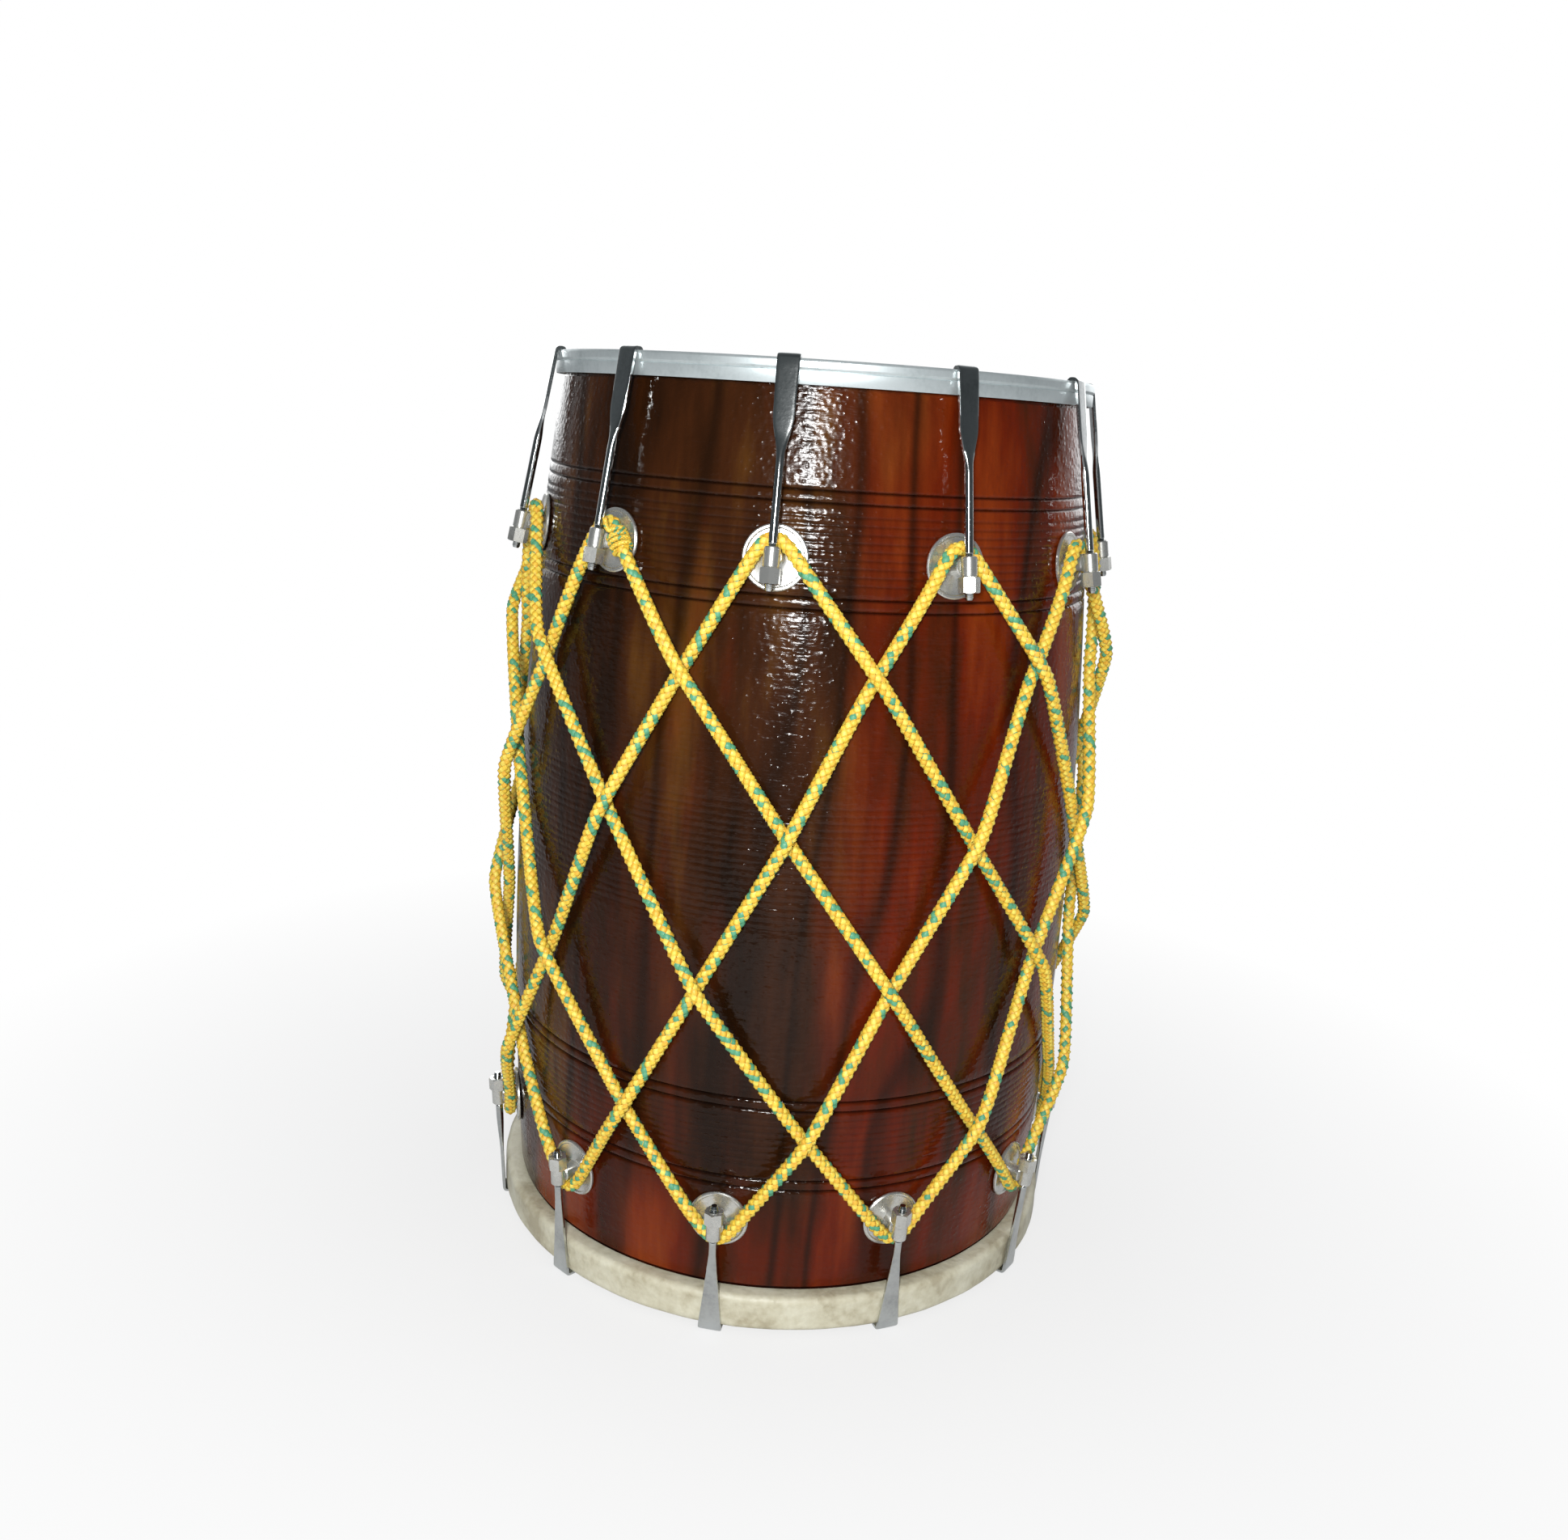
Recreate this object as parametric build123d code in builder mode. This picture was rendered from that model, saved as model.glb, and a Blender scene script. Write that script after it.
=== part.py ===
"""A rope-laced barrel drum with a steel-hooped treble head and a hide-hooped bass head.

Millimetres. The drum stands on its bass end: +Z runs up the axis of the shell, the origin is on
that axis in the plane the drum stands on. A station is one of the evenly spaced places round the
shell where a hook, a nut and a spool sit, at both heads alike.
"""
from build123d import *
from math import acos, atan2, ceil, cos, hypot, pi, radians, sin, sqrt
import os

os.makedirs("parts", exist_ok=True)

# Driving sizes of the whole drum
stations = 11
bass_start = -94.1
treble_lead = 2.6
hoop_top = 600.0

# Shell, turned from one block, with a step at each end that the head's hoop goes over
treble_radius = 172.0
treble_step = 2.0
bass_radius = 190.5
bass_step = 1.5
belly_swell = 5.0
belly_height = 300.0
shell_wall = 10.0
seat_clearance = 2.0
bore_straight = 115.0
band_length = 80.0

# Turned grooves, the lower pair counted from the floor and the upper pair from the hoop's top
groove_depth = 1.0
groove_half_width = 1.5
low_groove_rises = (103.0, 158.5)
high_groove_drops = (133.0, 73.5)

# Fits
fit_gap = 0.3
spool_gap = 0.05
nut_gap = 0.06

# Treble head: a skin lapped round a flat steel ring, held down by a rolled steel hoop
treble_edge_drop = 5.0
treble_skin_thickness = 0.8
treble_ring_width = 1.6
treble_ring_height = 3.2
treble_lap_drop = 13.0
treble_hoop_wall = 1.6
treble_hoop_height = 13.8
treble_bead_height = 6.0
treble_bead_step = 0.5
treble_flange = 2.0
treble_hoop_chamfer = 0.6

# Bass head: a thick hide lapped right round a ring, so that hide is all that shows of the hoop
bass_edge_rise = 5.0
bass_skin_thickness = 1.2
bass_hoop_height = 24.0
bass_hoop_width = 12.5
bass_hoop_round = 4.0

# Hooks, each forged from one rod: a flat strip bent over the hoop, then a threaded rod
strip_thickness = 2.4
strip_bend = 1.4
rod_diameter = 5.2
rod_past_nut = 4.0
strip_end = 54.0
strip_end_width = 4.8
treble_strip_width = 13.0
treble_strip_straight = 32.0
treble_lip = 5.4
bass_strip_width = 15.0
bass_strip_straight = 5.0
bass_foot_reach = 16.0
bass_lip = 4.2

# Spools, one for each hook: a disc that lies on the shell, a stem, and an eye for the rod
treble_spool_drop = 108.5
bass_spool_height = 76.0
disc_radius = 19.0
disc_thickness = 2.2
stem_radius = 5.5
eye_width = 9.5
eye_length = 11.6
eye_gap = 0.25
disc_sides = 24
small_round_sides = 12

# Nuts
nut_across_flats = 11.0
nut_height = 9.0
nut_sides = 6

# Rope: one length, laced in turn round a treble spool and a bass spool till it meets itself
rope_diameter = 9.0
rope_facets = 6
rope_clearance = 1.0
crossing_clearance = 1.4
stations_right = 3
stations_left = 2
lace_spread = 5.4
straight_past_disc = 5.5
crossing_bend = 40.0
first_lap = -1
join_diameter = 13.0
join_length = 15.0
join_past_disc = 9.0
join_end_gap = 1.9
join_sides = 8

# Sizes worked out from the ones above
station_step = 360.0 / stations
rope_radius = rope_diameter / 2
rod_radius = rod_diameter / 2
half_strip = strip_thickness / 2
hoop_bottom = strip_thickness
shell_bottom = hoop_bottom + bass_edge_rise
shell_top = hoop_top - treble_edge_drop
treble_spool_height = hoop_top - treble_spool_drop
grooves = (*low_groove_rises, *[hoop_top - drop for drop in high_groove_drops])

# The treble head, from the shell outward and from the lap up
treble_skirt_inner = treble_radius + fit_gap
treble_skirt_outer = treble_skirt_inner + treble_skin_thickness
treble_ring_inner = treble_skirt_outer + fit_gap
treble_ring_outer = treble_ring_inner + treble_ring_width
treble_lap_inner = treble_ring_outer + fit_gap
treble_lap_outer = treble_lap_inner + treble_skin_thickness
treble_hoop_inner = treble_lap_outer + fit_gap
treble_hoop_outer = treble_hoop_inner + treble_hoop_wall
treble_bead_outer = treble_hoop_outer + treble_bead_step
treble_lap_bottom = hoop_top - treble_lap_drop
treble_ring_bottom = treble_lap_bottom + treble_skin_thickness
treble_ring_top = treble_ring_bottom + treble_ring_height
treble_hoop_bottom = hoop_top - treble_hoop_height
treble_seat_bottom = treble_hoop_bottom - seat_clearance

# The bass head, the same way
bass_hoop_inner = bass_radius + fit_gap
bass_hoop_outer = bass_hoop_inner + bass_hoop_width
bass_hoop_top = hoop_bottom + bass_hoop_height
bass_seat_top = bass_hoop_top + seat_clearance
bass_skin_bottom = shell_bottom - bass_skin_thickness
core_inner = bass_hoop_inner + bass_skin_thickness + fit_gap
core_outer = bass_hoop_outer - bass_skin_thickness - fit_gap
core_bottom = hoop_bottom + bass_skin_thickness
core_top = bass_hoop_top - bass_skin_thickness
core_chamfer = bass_hoop_round - bass_skin_thickness

# Heights above the shell at a spool
rope_height = spool_gap + disc_thickness + fit_gap + rope_radius
rod_height = rope_height + rope_radius + rope_clearance / 2 + rod_radius
ring_radius = stem_radius + fit_gap + rope_radius

# Heights above the shell where two runs of the rope cross
under_height = rope_radius + rope_clearance
over_height = under_height + rope_diameter + crossing_clearance

# Three points of the barrel's outline: above each step, and the belly past the wider of them
treble_shoulder = treble_radius + treble_step
bass_shoulder = bass_radius + bass_step
belly_radius = max(treble_shoulder, bass_shoulder) + belly_swell
barrel_low = (bass_shoulder, bass_seat_top)
barrel_middle = (belly_radius, belly_height)
barrel_high = (treble_shoulder, treble_seat_bottom)


def arc_through(low, middle, high):
    """Centre (radius, height) and bow radius of the arc through three points of the outline."""
    chord_low = (middle[0] - low[0], middle[1] - low[1])
    chord_high = (high[0] - low[0], high[1] - low[1])
    cross = 2 * (chord_low[0] * chord_high[1] - chord_low[1] * chord_high[0])
    square_low = chord_low[0] ** 2 + chord_low[1] ** 2
    square_high = chord_high[0] ** 2 + chord_high[1] ** 2
    offset_r = (chord_high[1] * square_low - chord_low[1] * square_high) / cross
    offset_z = (chord_low[0] * square_high - chord_high[0] * square_low) / cross
    return low[0] + offset_r, low[1] + offset_z, hypot(offset_r, offset_z)


bow_centre_r, bow_centre_z, bow_radius = arc_through(barrel_low, barrel_middle, barrel_high)


def shell_radius(height):
    """Outer radius of the shell at a height."""
    return bow_centre_r + sqrt(bow_radius**2 - (height - bow_centre_z) ** 2)


def outline_heights():
    """Heights at which the barrel's outline is cut, with one at the middle of each groove."""
    stops = [bass_seat_top, *grooves, treble_seat_bottom]
    heights = []
    for low, high in zip(stops, stops[1:]):
        bands = ceil((high - low) / band_length)
        heights += [low + (high - low) * band / bands for band in range(bands)]
    return heights + [treble_seat_bottom]


def round_axis(point, angle):
    """A (radius, height) point put at an angle, in degrees, round the axis of the drum."""
    turn = radians(angle)
    return Vector(point[0] * cos(turn), point[0] * sin(turn), point[1])


def treble_angle(station):
    """Angle of a treble station round the axis."""
    return bass_start + treble_lead + station * station_step


def bass_angle(station):
    """Angle of a bass station round the axis."""
    return bass_start + station * station_step


class Anchor:
    """A spool's place on the shell, and the line that its rod takes from the hoop's corner."""

    def __init__(self, spool_height, corner):
        """Works out the spool's normal and the rod's line, as (radius, height) pairs."""
        foot_r = shell_radius(spool_height)
        self.foot = (foot_r, spool_height)
        self.normal = ((foot_r - bow_centre_r) / bow_radius, (spool_height - bow_centre_z) / bow_radius)
        self.corner = corner
        self.eye = self.above(rod_height)
        self.eye = self.above(rod_height + ring_radius * max(self.lean(), 0.0))
        self.rod_run = hypot(self.eye[0] - corner[0], self.eye[1] - corner[1])
        self.along = ((self.eye[0] - corner[0]) / self.rod_run, (self.eye[1] - corner[1]) / self.rod_run)
        self.nut_start = self.rod_run + eye_length / 2
        self.rod_end = self.nut_start + nut_height + rod_past_nut

    def above(self, height):
        """The point at a height above the shell, on the spool's own axis."""
        return (self.foot[0] + self.normal[0] * height, self.foot[1] + self.normal[1] * height)

    def lean(self):
        """How much nearer the shell the rod comes for each millimetre towards the hoop."""
        across = (self.corner[0] - self.eye[0], self.corner[1] - self.eye[1])
        return -(across[0] * self.normal[0] + across[1] * self.normal[1]) / hypot(*across)

    def on_rod(self, distance):
        """The point of the rod's axis at a distance from the hoop's corner."""
        return (self.corner[0] + self.along[0] * distance, self.corner[1] + self.along[1] * distance)

    def rod_plane(self, distance):
        """Plane square to the rod at a distance from the corner, at station angle zero."""
        point = self.on_rod(distance)
        return Plane(
            origin=(point[0], 0, point[1]), x_dir=(0, 1, 0), z_dir=(self.along[0], 0, self.along[1])
        )

    def face_plane(self, distance):
        """Plane along the rod, facing out from the drum, with its y down the rod's length."""
        square = self.rod_plane(distance)
        return Plane(origin=square.origin, x_dir=square.x_dir, z_dir=square.x_dir.cross(square.z_dir))

    def disc_plane(self, height):
        """Plane that lies along the shell at a height above it, at station angle zero."""
        point = self.above(height)
        return Plane(
            origin=(point[0], 0, point[1]), x_dir=(0, 1, 0), z_dir=(self.normal[0], 0, self.normal[1])
        )


treble = Anchor(treble_spool_height, (treble_bead_outer + fit_gap + half_strip, hoop_top))
bass = Anchor(bass_spool_height, (bass_hoop_outer + fit_gap + half_strip, hoop_bottom))


def taper(width, length):
    """Corners of a strip's narrowing end, from full width to the rod."""
    half, end_half = width / 2, strip_end_width / 2
    return [(-half, 0), (half, 0), (end_half, length), (-end_half, length)]


def eased(points):
    """A run of (radius, height) points with each bend in it made in two steps."""
    run = [Vector(*point) for point in points]
    steps = [run[0]]
    for before, corner, after in zip(run, run[1:], run[2:]):
        steps.append(corner + (before - corner).normalized() * strip_bend)
        steps.append(corner + (after - corner).normalized() * strip_bend)
    return steps + [run[-1]]


def side_view(points):
    """Outline of a strip seen from its side, from the run of points along its middle."""
    sides = []
    for offset in (half_strip, -half_strip):
        edge = []
        for point in points:
            legs = [leg for leg in zip(points, points[1:]) if point in leg]
            ways = [after - before for before, after in legs]
            squares = [Vector(-way.Y, way.X).normalized() for way in ways]
            middle = sum(squares, Vector()).normalized()
            edge.append(point + middle * (offset / middle.dot(squares[0])))
        sides.append(edge)
    return sides[0] + sides[1][::-1]


def crossing(station, number, heading, over):
    """Where a run that leaves a treble station crosses its numbered run of the other heading."""
    spread_run = (stations_right + stations_left) * station_step - 4 * lace_spread
    share = (number * station_step - 2 * lace_spread) / spread_run
    if heading > 0:
        sweep_angle = stations_right * station_step - treble_lead - 2 * lace_spread
    else:
        sweep_angle = stations_left * station_step + treble_lead - 2 * lace_spread
    angle = treble_angle(station) + heading * (lace_spread + share * sweep_angle)
    height = treble_spool_height + share * (bass_spool_height - treble_spool_height)
    rise = over_height if over else under_height
    return round_axis((shell_radius(height) + rise, height), angle)


def hub_frame(anchor, angle):
    """Centre of the rope's turn at a spool, and its directions round and up the shell."""
    centre = round_axis(anchor.above(rope_height), angle)
    round_way = Vector(-sin(radians(angle)), cos(radians(angle)), 0)
    up_way = round_axis((-anchor.normal[1], anchor.normal[0]), angle)
    return centre, round_way, up_way


def turn_at_spool(anchor, angle, before, after):
    """The three corners that take the rope round a spool, with the spool's own radius between."""
    centre, round_way, up_way = hub_frame(anchor, angle)
    touches = []
    leads = []
    for point in (before, after):
        away = (point - centre).dot(round_way), (point - centre).dot(up_way)
        side = 1 if away[0] * away[1] < 0 else -1
        bearing = atan2(away[1], away[0]) + side * acos(ring_radius / hypot(*away))
        touch = (ring_radius * cos(bearing), ring_radius * sin(bearing))
        lead = (away[0] - touch[0], away[1] - touch[1])
        reach = sqrt((disc_radius + straight_past_disc) ** 2 - ring_radius**2) / hypot(*lead)
        touches.append(bearing)
        leads.append((touch[0] + lead[0] * reach, touch[1] + lead[1] * reach))
    between = (cos(touches[0]) + cos(touches[1]), sin(touches[0]) + sin(touches[1]))
    half_wrap = acos(cos(touches[0] - touches[1])) / 2
    tip_reach = ring_radius / cos(half_wrap) / hypot(*between)
    corners = [leads[0], (between[0] * tip_reach, between[1] * tip_reach), leads[1]]
    return [centre + round_way * x + up_way * y for x, y in corners]


def write(part, name):
    """Label a finished piece and write it to its own file."""
    part.label = name
    export_step(part, f"parts/{name}.step")
    print(f"{name}: {len(part.solids())} solids, {part.volume:.0f} cubic millimetres")


# Shell
with BuildPart() as shell:
    with BuildSketch(Plane.XZ):
        with BuildLine():
            Polyline(
                *[(shell_radius(height), height) for height in outline_heights()],
                (treble_radius, treble_seat_bottom),
                (treble_radius, shell_top),
                (treble_radius - shell_wall, shell_top),
                (belly_radius - shell_wall, belly_height + bore_straight / 2),
                (belly_radius - shell_wall, belly_height - bore_straight / 2),
                (bass_radius - shell_wall, shell_bottom),
                (bass_radius, shell_bottom),
                (bass_radius, bass_seat_top),
                close=True,
            )
        make_face()
    revolve(axis=Axis.Z)
    with BuildSketch(Plane.XZ):
        for height in grooves:
            lip = shell_radius(height) + groove_depth
            with BuildLine():
                Polyline(
                    (lip, height - 2 * groove_half_width),
                    (lip - 2 * groove_depth, height),
                    (lip, height + 2 * groove_half_width),
                    close=True,
                )
            make_face()
    revolve(axis=Axis.Z, mode=Mode.SUBTRACT)
write(shell.part, "shell")

# Treble head
with BuildPart() as treble_skin:
    with BuildSketch(Plane.XZ):
        with BuildLine():
            Polyline(
                (0, shell_top),
                (treble_skirt_inner, shell_top),
                (treble_skirt_inner, treble_lap_bottom),
                (treble_lap_outer, treble_lap_bottom),
                (treble_lap_outer, treble_ring_top),
                (treble_lap_inner, treble_ring_top),
                (treble_lap_inner, treble_ring_bottom),
                (treble_skirt_outer, treble_ring_bottom),
                (treble_skirt_outer, shell_top + treble_skin_thickness),
                (0, shell_top + treble_skin_thickness),
                close=True,
            )
        make_face()
    revolve(axis=Axis.Z)
write(treble_skin.part, "treble_skin")

with BuildPart() as treble_ring:
    with BuildSketch(Plane.XY.offset(treble_ring_bottom)):
        Circle(treble_ring_outer)
        Circle(treble_ring_inner, mode=Mode.SUBTRACT)
    extrude(amount=treble_ring_height)
write(treble_ring.part, "treble_ring")

with BuildPart() as treble_hoop:
    with BuildSketch(Plane.XZ):
        with BuildLine():
            Polyline(
                (treble_hoop_inner, treble_hoop_bottom),
                (treble_hoop_outer, treble_hoop_bottom),
                (treble_hoop_outer, hoop_top - treble_bead_height),
                (treble_bead_outer, hoop_top - treble_bead_height + treble_bead_step),
                (treble_bead_outer, hoop_top - treble_hoop_chamfer),
                (treble_bead_outer - treble_hoop_chamfer, hoop_top),
                (treble_hoop_inner + treble_hoop_chamfer, hoop_top),
                (treble_hoop_inner, hoop_top - treble_hoop_chamfer),
                (treble_hoop_inner, treble_ring_top + treble_flange),
                (treble_skirt_outer + fit_gap, treble_ring_top + treble_flange),
                (treble_skirt_outer + fit_gap, treble_ring_top),
                (treble_hoop_inner, treble_ring_top),
                close=True,
            )
        make_face()
    revolve(axis=Axis.Z)
write(treble_hoop.part, "treble_hoop")

# Bass head
with BuildPart() as bass_core:
    with BuildSketch(Plane.XZ):
        with BuildLine():
            Polyline(
                (core_inner, core_bottom),
                (core_outer - core_chamfer, core_bottom),
                (core_outer, core_bottom + core_chamfer),
                (core_outer, core_top - core_chamfer),
                (core_outer - core_chamfer, core_top),
                (core_inner, core_top),
                close=True,
            )
        make_face()
    revolve(axis=Axis.Z)
write(bass_core.part, "bass_core")

with BuildPart() as bass_skin:
    with BuildSketch(Plane.XZ):
        with BuildLine():
            Polyline(
                (0, bass_skin_bottom),
                (bass_hoop_inner, bass_skin_bottom),
                (bass_hoop_inner, hoop_bottom),
                (bass_hoop_outer - bass_hoop_round, hoop_bottom),
                (bass_hoop_outer, hoop_bottom + bass_hoop_round),
                (bass_hoop_outer, bass_hoop_top - bass_hoop_round),
                (bass_hoop_outer - bass_hoop_round, bass_hoop_top),
                (bass_hoop_inner, bass_hoop_top),
                (bass_hoop_inner, shell_bottom),
                (0, shell_bottom),
                close=True,
            )
        make_face()
        with BuildLine():
            Polyline(
                (core_inner - fit_gap, core_bottom),
                (core_outer + fit_gap - core_chamfer, core_bottom),
                (core_outer + fit_gap, core_bottom + core_chamfer),
                (core_outer + fit_gap, core_top - core_chamfer),
                (core_outer + fit_gap - core_chamfer, core_top),
                (core_inner - fit_gap, core_top),
                close=True,
            )
        make_face(mode=Mode.SUBTRACT)
    revolve(axis=Axis.Z)
write(bass_skin.part, "bass_skin")

# Spools
for head, anchor, angle_of in (("treble", treble, treble_angle), ("bass", bass, bass_angle)):
    with BuildPart() as spool:
        with BuildSketch(anchor.disc_plane(spool_gap)):
            RegularPolygon(disc_radius, disc_sides)
        extrude(amount=disc_thickness)
        with BuildSketch(anchor.disc_plane(spool_gap)):
            RegularPolygon(stem_radius, small_round_sides)
        extrude(amount=rope_height + rope_radius - spool_gap)
        with BuildSketch(anchor.rod_plane(anchor.rod_run - eye_length / 2)):
            Rectangle(eye_width, eye_width)
        extrude(amount=eye_length)
        with BuildSketch(anchor.rod_plane(anchor.rod_run - eye_length / 2)):
            RegularPolygon(rod_radius + eye_gap, small_round_sides, major_radius=False)
        extrude(amount=eye_length, mode=Mode.SUBTRACT)
    with BuildPart() as spools:
        for station in range(stations):
            add(spool.part, rotation=(0, 0, angle_of(station)))
    write(spools.part, f"{head}_spools")


# Hooks: the strip round the hoop, the taper, then the rod
treble_lip_radius = treble_hoop_inner - fit_gap - half_strip
treble_run = (
    (treble_lip_radius, hoop_top - treble_lip),
    (treble_lip_radius, hoop_top + half_strip),
    treble.on_rod(half_strip / treble.along[1]),
    treble.on_rod(treble_strip_straight),
)
bass_toe_radius = bass.corner[0] - bass_foot_reach
bass_run = (
    (bass_toe_radius, half_strip + bass_lip),
    (bass_toe_radius, half_strip),
    bass.on_rod(-(hoop_bottom - half_strip) / bass.along[1]),
    bass.on_rod(bass_strip_straight),
)

for head, anchor, angle_of, run, width, straight in (
    ("treble", treble, treble_angle, treble_run, treble_strip_width, treble_strip_straight),
    ("bass", bass, bass_angle, bass_run, bass_strip_width, bass_strip_straight),
):
    with BuildPart() as hook:
        with BuildSketch(Plane.XZ):
            with BuildLine():
                Polyline(*side_view(eased(run)), close=True)
            make_face()
        extrude(amount=width / 2, both=True)
        with BuildSketch(anchor.face_plane(straight)):
            with BuildLine():
                Polyline(*taper(width, strip_end - straight), close=True)
            make_face()
        extrude(amount=half_strip, both=True)
        with BuildSketch(anchor.rod_plane(strip_end)):
            RegularPolygon(rod_radius, small_round_sides)
        extrude(amount=anchor.rod_end - strip_end)
    with BuildPart() as nut:
        with BuildSketch(anchor.rod_plane(anchor.nut_start)):
            RegularPolygon(nut_across_flats / 2, nut_sides, major_radius=False)
            RegularPolygon(rod_radius + nut_gap, small_round_sides, False, mode=Mode.SUBTRACT)
        extrude(amount=nut_height)
    for station in range(stations):
        turn = (0, 0, angle_of(station))
        with BuildPart() as placed_hook:
            add(hook.part, rotation=turn)
        write(placed_hook.part, f"{head}_hook_{station + 1:02d}")
        with BuildPart() as placed_nut:
            add(nut.part, rotation=turn)
        write(placed_nut.part, f"{head}_nut_{station + 1:02d}")
    print(f"{head} eye {anchor.eye} along {anchor.along} nut from {anchor.nut_start} run {anchor.rod_run}")


# Rope
crossings = range(1, stations_right + stations_left)
rope_points = []
rope_bends = []
station = first_lap
for lap in range(stations):
    down_run = [crossing(station, number, 1, number % 2 == 1) for number in crossings]
    foot = station + stations_right
    next_station = foot + stations_left
    up_run = [crossing(next_station, number, -1, number % 2 == 0) for number in reversed(crossings)]
    next_down = [crossing(next_station, number, 1, number % 2 == 1) for number in crossings]
    rope_points += down_run
    rope_points += turn_at_spool(bass, bass_angle(foot), down_run[-1], up_run[0])
    rope_points += up_run
    rope_points += turn_at_spool(treble, treble_angle(next_station), up_run[-1], next_down[0])
    spool_bends = [crossing_bend, ring_radius, crossing_bend]
    rope_bends += [crossing_bend] * len(crossings) + spool_bends
    rope_bends += [crossing_bend] * len(crossings) + spool_bends
    station = next_station

run_home = rope_points[0] - rope_points[-1]
join_middle = rope_points[-1] + run_home.normalized() * join_past_disc
end_gap = run_home.normalized() * join_end_gap
rope_route = [join_middle + end_gap] + rope_points + [join_middle - end_gap]
print("rope corners", len(rope_points), "turn radii", sorted(set(rope_bends)))
with BuildLine() as rope_line:
    FilletPolyline(*rope_route, radius=rope_bends)
rope_path = rope_line.wire()
section_area = rope_facets / 2 * rope_radius**2 * sin(2 * pi / rope_facets)
print(f"rope length {rope_path.length:.0f}, length by section {rope_path.length * section_area:.0f}")
with BuildPart() as rope:
    with BuildSketch(Plane(origin=rope_path @ 0, z_dir=rope_path % 0)):
        RegularPolygon(rope_radius, rope_facets)
    sweep(path=rope_path)
    with BuildSketch(Plane(origin=join_middle, z_dir=run_home).offset(-join_length / 2)):
        RegularPolygon(join_diameter / 2, join_sides)
    extrude(amount=join_length)
write(rope.part, "rope")
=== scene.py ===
"""Dresses the rope-laced barrel drum: lacquered shell, plated hooks, hide hoop and braided rope.

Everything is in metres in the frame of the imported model, whose +Z runs up the axis of the shell.
The sizes are those of the part's source, written in millimetres as they are there.
"""
from __future__ import annotations

import logging
import math
from dataclasses import dataclass, field
from enum import Enum

import bmesh
import bpy
from mathutils import Matrix, Vector, noise


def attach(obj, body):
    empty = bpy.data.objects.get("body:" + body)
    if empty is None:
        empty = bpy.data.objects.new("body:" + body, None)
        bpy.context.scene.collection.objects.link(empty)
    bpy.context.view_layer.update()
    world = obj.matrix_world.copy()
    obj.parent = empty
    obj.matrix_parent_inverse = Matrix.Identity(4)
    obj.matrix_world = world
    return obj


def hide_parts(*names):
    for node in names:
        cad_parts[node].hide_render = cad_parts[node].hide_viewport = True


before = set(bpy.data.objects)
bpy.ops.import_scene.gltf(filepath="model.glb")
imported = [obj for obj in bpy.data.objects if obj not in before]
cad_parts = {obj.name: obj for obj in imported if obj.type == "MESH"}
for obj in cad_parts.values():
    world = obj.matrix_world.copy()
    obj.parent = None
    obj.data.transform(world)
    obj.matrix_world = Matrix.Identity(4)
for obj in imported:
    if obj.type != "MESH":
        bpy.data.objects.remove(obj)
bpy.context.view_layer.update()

MM = 0.001
log = logging.getLogger("drum")

Point = tuple[float, float]


class Head(Enum):
    """The two ends of the drum."""

    TREBLE = "treble"
    BASS = "bass"


@dataclass(frozen=True)
class DrumSizes:
    """The source's sizes that the dressed pieces share, in millimetres and degrees."""

    stations: int = 11
    bass_start: float = -94.1
    treble_lead: float = 2.6
    hoop_top: float = 600.0
    hoop_bottom: float = 2.4
    shell_bottom: float = 7.4
    shell_top: float = 595.0
    shell_wall: float = 10.0
    treble_radius: float = 172.0
    treble_seat_bottom: float = 584.2
    bass_radius: float = 190.5
    bass_seat_top: float = 28.4
    barrel_low: Point = (192.0, 28.4)
    barrel_middle: Point = (197.0, 300.0)
    barrel_high: Point = (174.0, 584.2)
    treble_hoop_inner: float = 176.4
    treble_hoop_outer: float = 178.0
    treble_bead_outer: float = 178.5
    treble_hoop_bottom: float = 586.2
    treble_ring_top: float = 591.0
    bass_hoop_inner: float = 190.8
    bass_hoop_outer: float = 203.3
    bass_hoop_top: float = 26.4
    strip_thickness: float = 2.4
    rod_radius: float = 2.6
    disc_radius: float = 19.0
    disc_thickness: float = 2.2
    stem_radius: float = 5.5
    eye_radius: float = 4.75
    eye_length: float = 11.6
    treble_spool_height: float = 491.5
    bass_spool_height: float = 76.0
    spool_gap: float = 0.05
    fit_gap: float = 0.3
    nut_flats: float = 11.0
    nut_height: float = 9.0
    rod_past_nut: float = 4.0
    rope_radius: float = 4.5
    under_height: float = 5.5
    over_height: float = 15.9
    lace_spread: float = 5.4
    stations_right: int = 3
    stations_left: int = 2

    @property
    def step(self) -> float:
        """Angle from one station to the next."""
        return 360.0 / self.stations

    @property
    def bow(self) -> tuple[float, float, float]:
        """Centre radius, centre height and radius of the barrel's outline."""
        (ar, az), (br, bz), (cr, cz) = self.barrel_low, self.barrel_middle, self.barrel_high
        ur, uz, vr, vz = br - ar, bz - az, cr - ar, cz - az
        cross = 2 * (ur * vz - uz * vr)
        us, vs = ur * ur + uz * uz, vr * vr + vz * vz
        off_r, off_z = (vz * us - uz * vs) / cross, (ur * vs - vr * us) / cross
        return ar + off_r, az + off_z, math.hypot(off_r, off_z)

    def shell_radius(self, height: float) -> float:
        """Outer radius of the barrel at a height."""
        centre_r, centre_z, radius = self.bow
        return centre_r + math.sqrt(radius**2 - (height - centre_z) ** 2)

    def angle(self, head: Head, station: int) -> float:
        """Angle of a station round the axis, in degrees from +X."""
        lead = self.treble_lead if head is Head.TREBLE else 0.0
        return self.bass_start + lead + station * self.step


SIZES = DrumSizes()


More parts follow.
